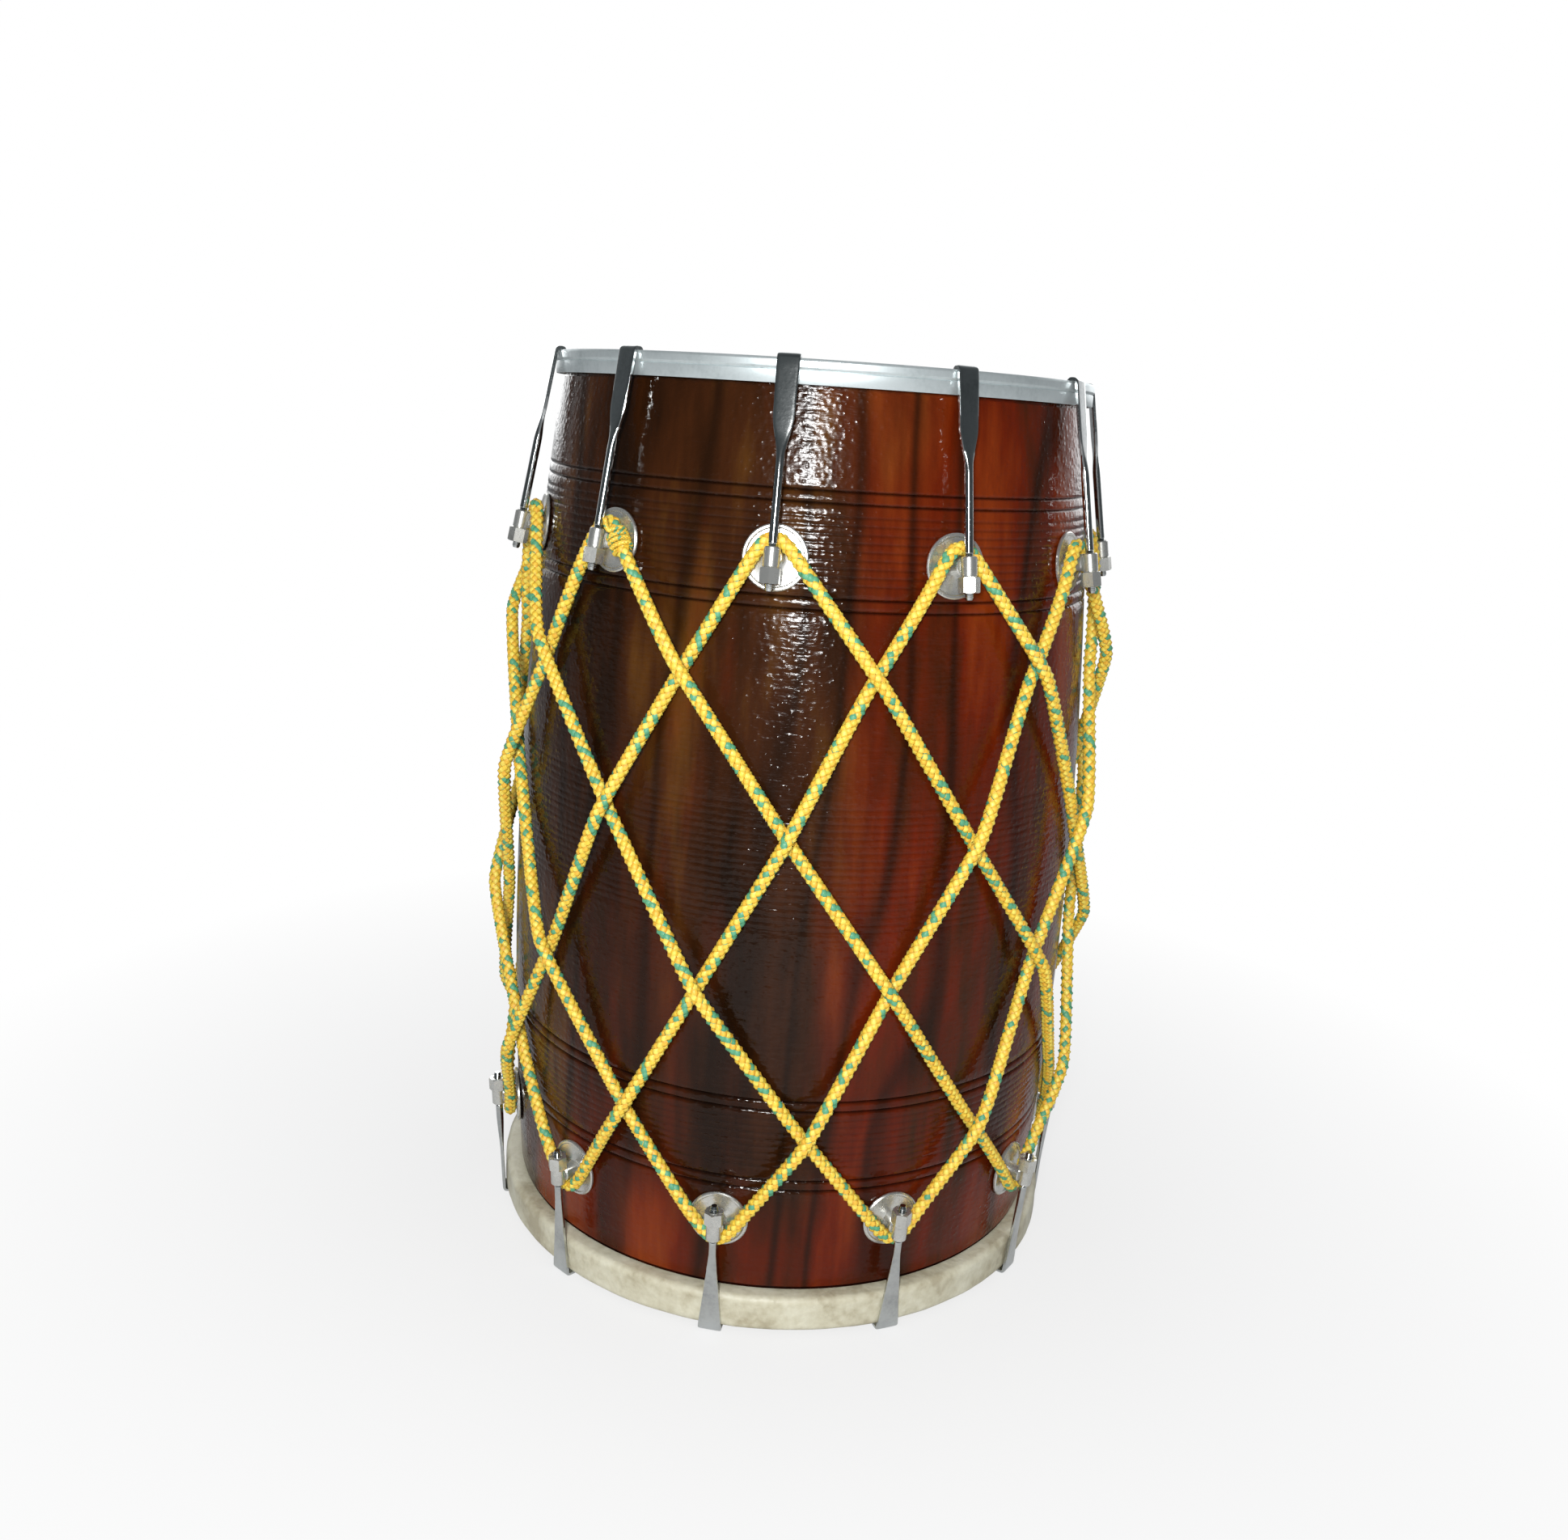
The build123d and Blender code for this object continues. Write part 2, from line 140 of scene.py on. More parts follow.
@dataclass(frozen=True)
class Anchor:
    """A spool's place on the shell and the line of its rod, in the plane of one station."""

    spool_height: float
    corner: Point
    foot: Point = (0.0, 0.0)
    normal: Point = (1.0, 0.0)
    eye: Point = (0.0, 0.0)
    along: Point = (0.0, 1.0)
    run: float = 0.0

    @staticmethod
    def of(head: Head) -> "Anchor":
        """Works out the anchor of one head.

        Args:
            head: which end of the drum.

        Returns:
            The anchor with its normal and its rod's line filled in.
        """
        s = SIZES
        half = s.strip_thickness / 2
        if head is Head.TREBLE:
            height, corner = s.treble_spool_height, (s.treble_bead_outer + s.fit_gap + half, s.hoop_top)
        else:
            height, corner = s.bass_spool_height, (s.bass_hoop_outer + s.fit_gap + half, s.hoop_bottom)
        centre_r, centre_z, radius = s.bow
        foot = (s.shell_radius(height), height)
        normal = ((foot[0] - centre_r) / radius, (height - centre_z) / radius)
        rope = s.spool_gap + s.disc_thickness + s.fit_gap + s.rope_radius
        rod = rope + s.rope_radius + 0.5 + s.rod_radius

        def above(rise: float) -> Point:
            return (foot[0] + normal[0] * rise, foot[1] + normal[1] * rise)

        eye = above(rod)
        across = (corner[0] - eye[0], corner[1] - eye[1])
        lean = -(across[0] * normal[0] + across[1] * normal[1]) / math.hypot(*across)
        eye = above(rod + (s.stem_radius + s.fit_gap + s.rope_radius) * max(lean, 0.0))
        run = math.hypot(eye[0] - corner[0], eye[1] - corner[1])
        along = ((eye[0] - corner[0]) / run, (eye[1] - corner[1]) / run)
        return Anchor(height, corner, foot, normal, eye, along, run)

    def above(self, rise: float) -> Point:
        """The point at a rise off the shell on the spool's axis."""
        return (self.foot[0] + self.normal[0] * rise, self.foot[1] + self.normal[1] * rise)

    def on_rod(self, distance: float) -> Point:
        """The point of the rod's axis at a distance from the hoop's corner."""
        return (self.corner[0] + self.along[0] * distance, self.corner[1] + self.along[1] * distance)


def round_axis(point: Point, angle: float) -> Vector:
    """A (radius, height) point in millimetres, put at an angle round the axis, in metres."""
    turn = math.radians(angle)
    return Vector((point[0] * math.cos(turn), point[0] * math.sin(turn), point[1])) * MM


# Node trees


class NodeBench:
    """Lays nodes into one tree and feeds their sockets."""

    def __init__(self, tree: bpy.types.NodeTree) -> None:
        """Takes the tree to work on."""
        self.tree = tree
        self.placed = 0

    def put(self, kind: str, feeds: dict | None = None, **settings: object) -> bpy.types.Node:
        """Adds a node.

        Args:
            kind: Blender's name for the node type.
            feeds: socket names or numbers, with the value or the output that feeds each.
            settings: attributes of the node, set before its sockets are fed.

        Returns:
            The new node.
        """
        node = self.tree.nodes.new(kind)
        node.location = (220 * (self.placed % 9), -260 * (self.placed // 9))
        self.placed += 1
        for key, value in settings.items():
            setattr(node, key, value)
        for key, value in (feeds or {}).items():
            if isinstance(value, bpy.types.NodeSocket):
                self.tree.links.new(value, node.inputs[key])
            else:
                node.inputs[key].default_value = value
        return node

    def math(self, operation: str, *values: object) -> bpy.types.NodeSocket:
        """A Math node of one operation on up to three values, as its output."""
        kind = "ShaderNodeMath"
        return self.put(kind, dict(enumerate(values)), operation=operation).outputs[0]

    def ramp(self, factor: object, stops: list[tuple[float, tuple]]) -> bpy.types.NodeSocket:
        """A colour ramp.

        Args:
            factor: the value that is looked up.
            stops: place and colour of each stop, in order.

        Returns:
            The ramp's colour output.
        """
        node = self.put("ShaderNodeValToRGB", {0: factor})
        elements = node.color_ramp.elements
        while len(elements) < len(stops):
            elements.new(0.5)
        for element, (place, colour) in zip(elements, stops):
            element.position = place
            element.color = (*colour, 1.0)
        return node.outputs[0]

    def mix(self, factor: object, first: object, second: object, blend: str = "MIX") -> bpy.types.NodeSocket:
        """A colour mix, as its output."""
        node = self.put("ShaderNodeMix", data_type="RGBA", blend_type=blend)
        for key, value in ((0, factor), (6, first), (7, second)):
            if isinstance(value, bpy.types.NodeSocket):
                self.tree.links.new(value, node.inputs[key])
            elif key:
                node.inputs[key].default_value = (*value, 1.0)
            else:
                node.inputs[key].default_value = value
        return node.outputs[2]


def shader_group(name: str, ins: dict[str, tuple[str, object]], outs: dict[str, str]) -> tuple:
    """Starts a shader node group.

    Args:
        name: the group's name.
        ins: input names, with socket type and default value.
        outs: output names, with socket type.

    Returns:
        The group, a bench on it, its input node and its output node.
    """
    group = bpy.data.node_groups.new(name, "ShaderNodeTree")
    for label, (kind, value) in ins.items():
        socket = group.interface.new_socket(label, in_out="INPUT", socket_type=kind)
        if value is not None:
            socket.default_value = value
    for label, kind in outs.items():
        group.interface.new_socket(label, in_out="OUTPUT", socket_type=kind)
    bench = NodeBench(group)
    return group, bench, bench.put("NodeGroupInput"), bench.put("NodeGroupOutput")


def mottle_group() -> bpy.types.NodeTree:
    """Soft patches with finer patches in them, shared by the wood, steel, hides and rope."""
    group, bench, given, made = shader_group(
        "mottle",
        {
            "Vector": ("NodeSocketVector", None),
            "Scale": ("NodeSocketFloat", 10.0),
            "Fine Share": ("NodeSocketFloat", 0.3),
            "Contrast": ("NodeSocketFloat", 1.0),
        },
        {"Value": "NodeSocketFloat"},
    )
    vector, scale = given.outputs["Vector"], given.outputs["Scale"]
    broad = bench.put("ShaderNodeTexNoise", {"Vector": vector, "Scale": scale, "Detail": 3.0})
    fine_scale = bench.math("MULTIPLY", scale, 7.0)
    fine = bench.put("ShaderNodeTexNoise", {"Vector": vector, "Scale": fine_scale, "Detail": 4.0})
    fine_part = bench.math("MULTIPLY", bench.math("SUBTRACT", fine.outputs[0], 0.5), given.outputs["Fine Share"])
    both = bench.math("ADD", bench.math("SUBTRACT", broad.outputs[0], 0.5), fine_part)
    spread = bench.math("MULTIPLY_ADD", both, given.outputs["Contrast"], 0.5)
    clamp = bench.put("ShaderNodeClamp", {"Value": spread})
    group.links.new(clamp.outputs[0], made.inputs["Value"])
    return group


def grit_group() -> bpy.types.NodeTree:
    """Fine raised grit: orange peel on lacquer, pores on hide, fibre ends on rope."""
    group, bench, given, made = shader_group(
        "grit",
        {
            "Vector": ("NodeSocketVector", None),
            "Grain Size": ("NodeSocketFloat", 0.002),
            "Sparseness": ("NodeSocketFloat", 0.5),
        },
        {"Height": "NodeSocketFloat"},
    )
    scale = bench.math("DIVIDE", 1.0, given.outputs["Grain Size"])
    coarse = bench.put("ShaderNodeTexNoise", {"Vector": given.outputs["Vector"], "Scale": scale, "Detail": 1.0})
    cells = bench.put(
        "ShaderNodeTexVoronoi", {"Vector": given.outputs["Vector"], "Scale": scale}, feature="SMOOTH_F1"
    )
    cut = bench.math("SUBTRACT", 1.0, cells.outputs["Distance"])
    grains = bench.math("POWER", cut, bench.math("MULTIPLY_ADD", given.outputs["Sparseness"], 4.0, 1.0))
    height = bench.math("MULTIPLY_ADD", grains, 0.6, bench.math("MULTIPLY", coarse.outputs[0], 0.4))
    group.links.new(height, made.inputs["Height"])
    return group


class Finish:
    """A base for finishes: one material, with object coordinates and one Principled shader."""

    name = "finish"
    groups: dict[str, bpy.types.NodeTree] = {}

    def begin(self) -> tuple[bpy.types.Material, NodeBench, bpy.types.NodeSocket, bpy.types.Node]:
        """Starts the material.

        Returns:
            The material, its bench, the object coordinates and the Principled shader.
        """
        material = bpy.data.materials.new(self.name)
        material.use_nodes = True
        material.node_tree.nodes.clear()
        bench = NodeBench(material.node_tree)
        coordinates = bench.put("ShaderNodeTexCoord").outputs["Object"]
        shader = bench.put("ShaderNodeBsdfPrincipled")
        bench.put("ShaderNodeOutputMaterial", {"Surface": shader.outputs[0]})
        return material, bench, coordinates, shader

    def shared(self, bench: NodeBench, group: str, **values: object) -> bpy.types.NodeSocket:
        """Places a shared group and feeds its named inputs.

        Args:
            bench: the material's bench.
            group: mottle or grit.
            values: the group's inputs, with underscores for spaces.

        Returns:
            The group's only output.
        """
        if group not in Finish.groups:
            Finish.groups[group] = {"mottle": mottle_group, "grit": grit_group}[group]()
        node = bench.put("ShaderNodeGroup", node_tree=Finish.groups[group])
        for key, value in values.items():
            socket = node.inputs[key.replace("_", " ")]
            if isinstance(value, bpy.types.NodeSocket):
                bench.tree.links.new(value, socket)
            else:
                socket.default_value = value
        return node.outputs[0]


@dataclass(frozen=True)
class LacqueredWood(Finish):
    """Dark figured hardwood, turned in fine rings that are darkened with painted shade, under a brushed lacquer."""

    name: str = "lacquered_wood"
    heart: tuple = (0.0090, 0.0034, 0.0012)
    brown: tuple = (0.0400, 0.0115, 0.0030)
    amber: tuple = (0.0950, 0.0360, 0.0055)
    red: tuple = (0.1150, 0.0105, 0.0014)
    orange: tuple = (0.2300, 0.0360, 0.0045)
    # Near-black colour and strength of the painted shade in the turned lines.
    groove_shade_colour: tuple = (0.0030, 0.0010, 0.0006)
    groove_shade_strength: float = 0.75
    red_from: float = 0.066
    red_lean: float = 0.16
    figure_from: tuple = (0.31, 0.17, 0.05)
    foot_height: float = 0.085

    def material(self) -> bpy.types.Material:
        """Builds the material: heartwood on one side, redder figured wood on the other and at the foot, and painted
        shade in the turned lines.
        """
        material, bench, coordinates, shader = self.begin()
        squeeze = bench.put(
            "ShaderNodeMapping", {"Vector": coordinates, "Location": self.figure_from, "Scale": (1.0, 1.0, 0.20)}
        )
        broad = self.shared(bench, "mottle", Vector=squeeze.outputs[0], Scale=13.0, Fine_Share=0.30, Contrast=2.6)
        figure = bench.put(
            "ShaderNodeTexWave",
            {"Vector": squeeze.outputs[0], "Scale": 7.0, "Distortion": 11.0, "Detail": 2.0, "Detail Scale": 1.2},
            wave_type="RINGS",
            rings_direction="Z",
        )
        streaks = bench.put("ShaderNodeMapping", {"Vector": coordinates, "Scale": (1.0, 1.0, 0.03)})
        pores = bench.put("ShaderNodeTexNoise", {"Vector": streaks.outputs[0], "Scale": 240.0, "Detail": 2.0})
        apart = bench.put("ShaderNodeSeparateXYZ", {0: coordinates})
        leaning = bench.math("MULTIPLY_ADD", apart.outputs[2], self.red_lean, apart.outputs[0])
        start = self.red_from + 0.2 * self.red_lean
        across = bench.put("ShaderNodeMapRange", {0: leaning, 1: start - 0.035, 2: start + 0.035})
        foot = bench.put("ShaderNodeMapRange", {0: apart.outputs[2], 1: self.foot_height + 0.03, 2: self.foot_height - 0.03})
        drift = self.shared(bench, "mottle", Vector=squeeze.outputs[0], Scale=8.0, Fine_Share=0.25, Contrast=2.4)
        reach = bench.math("MULTIPLY_ADD", foot.outputs[0], 0.75, across.outputs[0])
        side = bench.math("ADD", reach, bench.math("MULTIPLY_ADD", drift, 1.5, -0.75))
        redness = bench.put("ShaderNodeClamp", {"Value": side}).outputs[0]
        dark_wood = bench.ramp(broad, [(0.15, self.heart), (0.62, self.brown), (1.0, self.amber)])
        red_wood = bench.ramp(broad, [(0.05, self.brown), (0.45, self.red), (1.0, self.orange)])
        wood = bench.mix(redness, dark_wood, red_wood)
        lines = bench.math("POWER", figure.outputs[1], 7.0)
        figured = bench.mix(bench.math("MULTIPLY", lines, 0.75), wood, self.heart)
        pored = bench.mix(bench.math("MULTIPLY", pores.outputs[0], 0.40), figured, self.heart)
        # Painted shade: each turned line is darkened by its cut depth, deeper cuts darker, on top of the real grooves
        # in the mesh.
        cut = bench.put("ShaderNodeAttribute", attribute_name="cut").outputs["Fac"]
        groove_shade_share = bench.math("MINIMUM", bench.math("MULTIPLY", cut, self.groove_shade_strength), 0.85)
        groove_shaded = bench.mix(groove_shade_share, pored, self.groove_shade_colour)
        lathe = bench.put("ShaderNodeMapping", {"Vector": coordinates, "Scale": (1.0, 1.0, 4.5)})
        brushed = bench.put("ShaderNodeTexNoise", {"Vector": lathe.outputs[0], "Scale": 75.0, "Detail": 3.0})
        peel = self.shared(bench, "grit", Vector=coordinates, Grain_Size=0.0036, Sparseness=0.5)
        relief = bench.math("MULTIPLY_ADD", brushed.outputs[0], 0.9, peel)
        bump = bench.put("ShaderNodeBump", {"Strength": 0.55, "Distance": 0.0008, "Height": relief})
        bench.tree.links.new(groove_shaded, shader.inputs["Base Color"])
        shader.inputs["Specular IOR Level"].default_value = 0.18
        bench.tree.links.new(bench.math("MULTIPLY_ADD", broad, 0.06, 0.13), shader.inputs["Roughness"])
        bench.tree.links.new(bump.outputs[0], shader.inputs["Normal"])
        return material


@dataclass(frozen=True)
class PlatedSteel(Finish):
    """Nickel-bright plating with faint clouding and handling marks."""

    name: str = "plated_steel"
    colour: tuple = (0.64, 0.66, 0.66)
    dull: tuple = (0.42, 0.44, 0.44)
    roughness: float = 0.08
    metallic: float = 1.0

    def material(self) -> bpy.types.Material:
        """Builds the material, clouded a little where hands and weather reach it."""
        material, bench, coordinates, shader = self.begin()
        clouds = self.shared(bench, "mottle", Vector=coordinates, Scale=60.0, Fine_Share=0.5, Contrast=1.8)
        marks = self.shared(bench, "grit", Vector=coordinates, Grain_Size=0.0016, Sparseness=0.7)
        bump = bench.put("ShaderNodeBump", {"Strength": 0.10, "Distance": 0.0003, "Height": marks})
        bench.tree.links.new(bench.mix(bench.math("POWER", clouds, 2.0), self.colour, self.dull), shader.inputs[0])
        rough = bench.math("MULTIPLY_ADD", clouds, 0.06, self.roughness)
        bench.tree.links.new(rough, shader.inputs["Roughness"])
        bench.tree.links.new(bump.outputs[0], shader.inputs["Normal"])
        shader.inputs["Metallic"].default_value = self.metallic
        return material


@dataclass(frozen=True)
class Hide(Finish):
    """Scraped animal skin, pale with yellow and grey-green clouds."""

    name: str = "bass_hide"
    pale: tuple = (0.60, 0.58, 0.46)
    cloud: tuple = (0.49, 0.46, 0.34)
    stain: tuple = (0.36, 0.32, 0.22)
    grain: float = 0.0030
    relief: float = 0.0008
    gloss: float = 0.42

    def material(self) -> bpy.types.Material:
        """Builds the material, with pores and creases in relief."""
        material, bench, coordinates, shader = self.begin()
        clouds = self.shared(bench, "mottle", Vector=coordinates, Scale=24.0, Fine_Share=0.55, Contrast=2.0)
        specks = self.shared(bench, "mottle", Vector=coordinates, Scale=170.0, Fine_Share=0.3, Contrast=2.4)
        skin = bench.ramp(clouds, [(0.12, self.stain), (0.42, self.cloud), (0.80, self.pale)])
        flecked = bench.mix(bench.math("MULTIPLY", specks, 0.28), skin, self.cloud)
        pores = self.shared(bench, "grit", Vector=coordinates, Grain_Size=self.grain, Sparseness=0.3)
        height = bench.math("MULTIPLY_ADD", clouds, 0.8, pores)
        bump = bench.put("ShaderNodeBump", {"Strength": 0.45, "Distance": self.relief, "Height": height})
        bench.tree.links.new(flecked, shader.inputs["Base Color"])
        bench.tree.links.new(bench.math("MULTIPLY_ADD", specks, 0.15, self.gloss), shader.inputs["Roughness"])
        bench.tree.links.new(bump.outputs[0], shader.inputs["Normal"])
        return material


@dataclass(frozen=True)
class RopeYarn(Finish):
    """One colour of braided polypropylene yarn, with single knobs of a second colour."""

    name: str = "yarn_lemon"
    yarn: tuple = (0.87, 0.72, 0.130)
    # The yarn's colour in painted shade, used between the knobs.
    shade: tuple = (0.55, 0.37, 0.025)
    fleck: tuple = (0.085, 0.31, 0.17)
    fleck_share: float = 0.0

    def material(self) -> bpy.types.Material:
        """Builds the material: a painted highlight on the crown of each knob and painted shade between them, with fibre
        ends in relief.
        """
        material, bench, coordinates, shader = self.begin()
        knob = bench.put("ShaderNodeAttribute", attribute_name="knob").outputs["Fac"]
        # Painted highlight: paler yarn on each knob's crown and the shade colour in the troughs, mixed with random
        # patches of tone.
        crown_highlight = bench.math("ABSOLUTE", bench.math("SINE", bench.math("MULTIPLY", knob, 2 * math.pi)))
        patches = self.shared(bench, "mottle", Vector=coordinates, Scale=190.0, Fine_Share=0.5, Contrast=2.0)
        bright = bench.math("MULTIPLY_ADD", crown_highlight, 0.55, bench.math("MULTIPLY", patches, 0.45))
        body = bench.mix(bright, self.shade, self.yarn)
        chance = bench.put("ShaderNodeTexWhiteNoise", {"W": bench.math("FLOOR", knob)}, noise_dimensions="1D")
        mask = bench.math("LESS_THAN", chance.outputs["Value"], self.fleck_share)
        colour = bench.mix(mask, body, self.fleck)
        fibres = self.shared(bench, "grit", Vector=coordinates, Grain_Size=0.0006, Sparseness=0.2)
        bump = bench.put("ShaderNodeBump", {"Strength": 0.5, "Distance": 0.0003, "Height": fibres})
        bench.tree.links.new(colour, shader.inputs["Base Color"])
        bench.tree.links.new(bench.math("MULTIPLY_ADD", patches, -0.15, 0.55), shader.inputs["Roughness"])
        bench.tree.links.new(bump.outputs[0], shader.inputs["Normal"])
        return material


@dataclass(frozen=True)
class RawWood(Finish):
    """Plain unfinished wood for the ring inside the bass hide."""

    name: str = "raw_wood"
    light: tuple = (0.42, 0.26, 0.12)
    dark: tuple = (0.24, 0.13, 0.05)

    def material(self) -> bpy.types.Material:
        """Builds the material."""
        material, bench, coordinates, shader = self.begin()
        grain = self.shared(bench, "mottle", Vector=coordinates, Scale=40.0, Fine_Share=0.8, Contrast=2.0)
        bench.tree.links.new(bench.mix(grain, self.dark, self.light), shader.inputs["Base Color"])
        bench.tree.links.new(bench.math("MULTIPLY_ADD", grain, 0.2, 0.6), shader.inputs["Roughness"])
        return material


@dataclass
class Palette:
    """Every finish, built once."""

    wood: bpy.types.Material = field(default_factory=lambda: LacqueredWood().material())
    steel: bpy.types.Material = field(default_factory=lambda: PlatedSteel().material())
    satin: bpy.types.Material = field(
        default_factory=lambda: PlatedSteel("satin_steel", (0.72, 0.72, 0.69), (0.50, 0.50, 0.47), 0.24, 0.85).material()
    )
    hoop_steel: bpy.types.Material = field(
        default_factory=lambda: PlatedSteel("hoop_steel", (0.64, 0.70, 0.71), (0.48, 0.54, 0.55), 0.36, 0.72).material()
    )
    hide: bpy.types.Material = field(default_factory=lambda: Hide().material())
    head_skin: bpy.types.Material = field(
        default_factory=lambda: Hide(
            "treble_head_skin", (0.80, 0.77, 0.69), (0.75, 0.71, 0.61), (0.66, 0.61, 0.49), 0.0016, 0.0003, 0.5
        ).material()
    )
    core: bpy.types.Material = field(default_factory=lambda: RawWood().material())
    lemon: bpy.types.Material = field(default_factory=lambda: RopeYarn().material())
    lemon_teal: bpy.types.Material = field(
        default_factory=lambda: RopeYarn("yarn_lemon_teal", fleck_share=0.40).material()
    )
    gold: bpy.types.Material = field(
        default_factory=lambda: RopeYarn("yarn_gold", (0.85, 0.52, 0.055), (0.52, 0.25, 0.014)).material()
    )
    gold_teal: bpy.types.Material = field(
        default_factory=lambda: RopeYarn(
            "yarn_gold_teal", (0.86, 0.60, 0.065), (0.55, 0.32, 0.016), fleck_share=0.30
        ).material()
    )


# Meshes


def piece(
    name: str,
    mesh: bpy.types.Mesh,
    material: bpy.types.Material,
    body: str,
    nodes: tuple[str, ...] = (),
    sharp: float = 40.0,
) -> bpy.types.Object:
    """Turns a mesh into a finished piece of the drum.

    Args:
        name: the piece's name.
        mesh: its mesh, already in place.
        material: its finish.
        body: the body that it moves with.
        nodes: the CAD nodes that it stands for.
        sharp: the angle in degrees above which an edge stays sharp.

    Returns:
        The piece's object.
    """
    mesh.name = name
    mesh.materials.clear()
    mesh.materials.append(material)
    mesh.shade_smooth()
    mesh.set_sharp_from_angle(angle=math.radians(sharp))
    made = bpy.data.objects.new(name, mesh)
    bpy.context.scene.collection.objects.link(made)
    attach(made, body)
    if nodes:
        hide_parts(*nodes)
    log.info("%s: %d faces on %s", name, len(mesh.polygons), body)
    return made


def mesh_of(name: str, points: list[Vector], faces: list[tuple[int, ...]]) -> bpy.types.Mesh:
    """Makes a mesh from points in metres, with its faces turned outwards."""
    mesh = bpy.data.meshes.new(name)
    mesh.from_pydata(points, [], faces)
    work = bmesh.new()
    work.from_mesh(mesh)
    bmesh.ops.remove_doubles(work, verts=work.verts, dist=1e-7)
    bmesh.ops.recalc_face_normals(work, faces=work.faces)
    work.to_mesh(mesh)
    work.free()
    return mesh


def turned(name: str, outline: list[Point], segments: int) -> bpy.types.Mesh:
    """Turns a closed outline round the drum's axis.

    Args:
        name: the mesh's name.
        outline: (radius, height) points in millimetres; a radius of zero lies on the axis.
        segments: how many steps the turn has.

    Returns:
        A closed mesh.
    """
    points: list[Vector] = []
    rings: list[list[int]] = []
    for radius, height in outline:
        if radius <= 0:
            rings.append([len(points)] * segments)
            points.append(Vector((0, 0, height)) * MM)
            continue
        rings.append(list(range(len(points), len(points) + segments)))
        points += [round_axis((radius, height), 360 * k / segments) for k in range(segments)]
    faces = []
    for here, there in zip(rings, rings[1:] + rings[:1]):
        if here[0] == here[-1] and there[0] == there[-1]:
            continue
        for k in range(segments):
            after = (k + 1) % segments
            corners = (here[k], here[after], there[after], there[k])
            faces.append(tuple(dict.fromkeys(corners)))
    return mesh_of(name, points, faces)


def rounded(outline: list[Point], bends: dict[int, float], steps: int = 4) -> list[Point]:
    """Rounds some corners of a closed outline.

    Args:
        outline: the corners in order.
        bends: corner numbers, with the radius each gets.
        steps: how many straight steps a corner is rounded in.

    Returns:
        The outline with its corners rounded.
    """
    result: list[Point] = []
    for number, corner in enumerate(outline):
        radius = bends.get(number, 0.0)
        if not radius:
            result.append(corner)
            continue
        here = Vector(corner)
        back = (Vector(outline[number - 1]) - here).normalized()
        ahead = (Vector(outline[(number + 1) % len(outline)]) - here).normalized()
        half = back.angle(ahead) / 2
        start, end = here + back * (radius / math.tan(half)), here + ahead * (radius / math.tan(half))
        centre = here + (back + ahead).normalized() * (radius / math.sin(half))
        turn = (start - centre).angle_signed(end - centre)
        for step in range(steps + 1):
            angle = -turn * step / steps
            spoke = Matrix.Rotation(angle, 2) @ (start - centre)
            result.append(tuple(centre + spoke))
    return result


@dataclass(frozen=True)
class Cut:
    """One turned line in the shell: its height, half its width and its depth, in millimetres."""

    height: float
    half_width: float
    depth: float


@dataclass
class Shell:
    """The turned barrel with its bands of lines."""

    palette: Palette
    segments: int = 200
    pair_gap: float = 3.4
    fine_pitch: float = 4.5

    def cuts(self) -> list[Cut]:
        """The turned lines from the bass end up: single fine lines in bands, deeper pairs at their ends."""
        deep = []
        for middle in (103.0, 158.5, 467.0, 526.5):
            deep += [Cut(middle - self.pair_gap, 1.4, 1.1), Cut(middle + self.pair_gap, 1.4, 1.1)]
        fine = []
        for low, high, depth in ((116.0, 149.0, 0.30), (274.0, 349.0, 0.20), (478.0, 516.0, 0.42)):
            count = round((high - low) / self.fine_pitch)
            fine += [Cut(low + k * (high - low) / count, 1.35, depth) for k in range(count + 1)]
        return sorted(deep + fine, key=lambda cut: cut.height)

    def outline(self) -> list[Point]:
        """The section of the wall, from the bass seat up the outside and down the bore."""
        s = SIZES
        heights = {s.bass_seat_top, s.treble_seat_bottom}
        height = s.bass_seat_top
        while height < s.treble_seat_bottom:
            heights.add(height)
            height += 7.0
        cuts = self.cuts()
        heights = {h for h in heights if all(abs(h - cut.height) > cut.half_width * 1.2 for cut in cuts)}
        for cut in cuts:
            heights |= {cut.height + cut.half_width * share for share in (-1, -0.55, 0, 0.55, 1)}
        outer = []
        for height in sorted(heights):
            depth = 0.0
            for cut in cuts:
                share = abs(height - cut.height) / cut.half_width
                if share < 1:
                    depth += cut.depth * (0.5 + 0.5 * math.cos(math.pi * share))
            outer.append((s.shell_radius(height) - depth, height))
        wall = s.shell_wall
        bore = [(197.0 - wall, 357.5), (197.0 - wall, 242.5), (s.bass_radius - wall, s.shell_bottom)]
        top = [
            (s.treble_radius, s.treble_seat_bottom),
            (s.treble_radius, s.shell_top - 0.8),
            (s.treble_radius - 0.8, s.shell_top),
            (s.treble_radius - wall, s.shell_top),
        ]
        bottom = [
            (s.bass_radius - 0.8, s.shell_bottom),
            (s.bass_radius, s.shell_bottom + 0.8),
            (s.bass_radius, s.bass_seat_top),
        ]
        return outer + top + bore + bottom

    def build(self) -> None:
        """Builds the shell and dresses it."""
        mesh = turned("shell_turned", self.outline(), self.segments)
        # Cut depth of each point below the barrel. The wood material paints shade into the turned lines from it.
        cut = mesh.attributes.new("cut", "FLOAT", "POINT")
        for vertex, value in zip(mesh.vertices, cut.data):
            height = vertex.co.z / MM
            if SIZES.bass_seat_top <= height <= SIZES.treble_seat_bottom and vertex.co.xy.length / MM > SIZES.treble_radius:
                value.value = max(SIZES.shell_radius(height) - vertex.co.xy.length / MM, 0.0)
        piece("shell_turned", mesh, self.palette.wood, "drum", ("shell",), sharp=60.0)


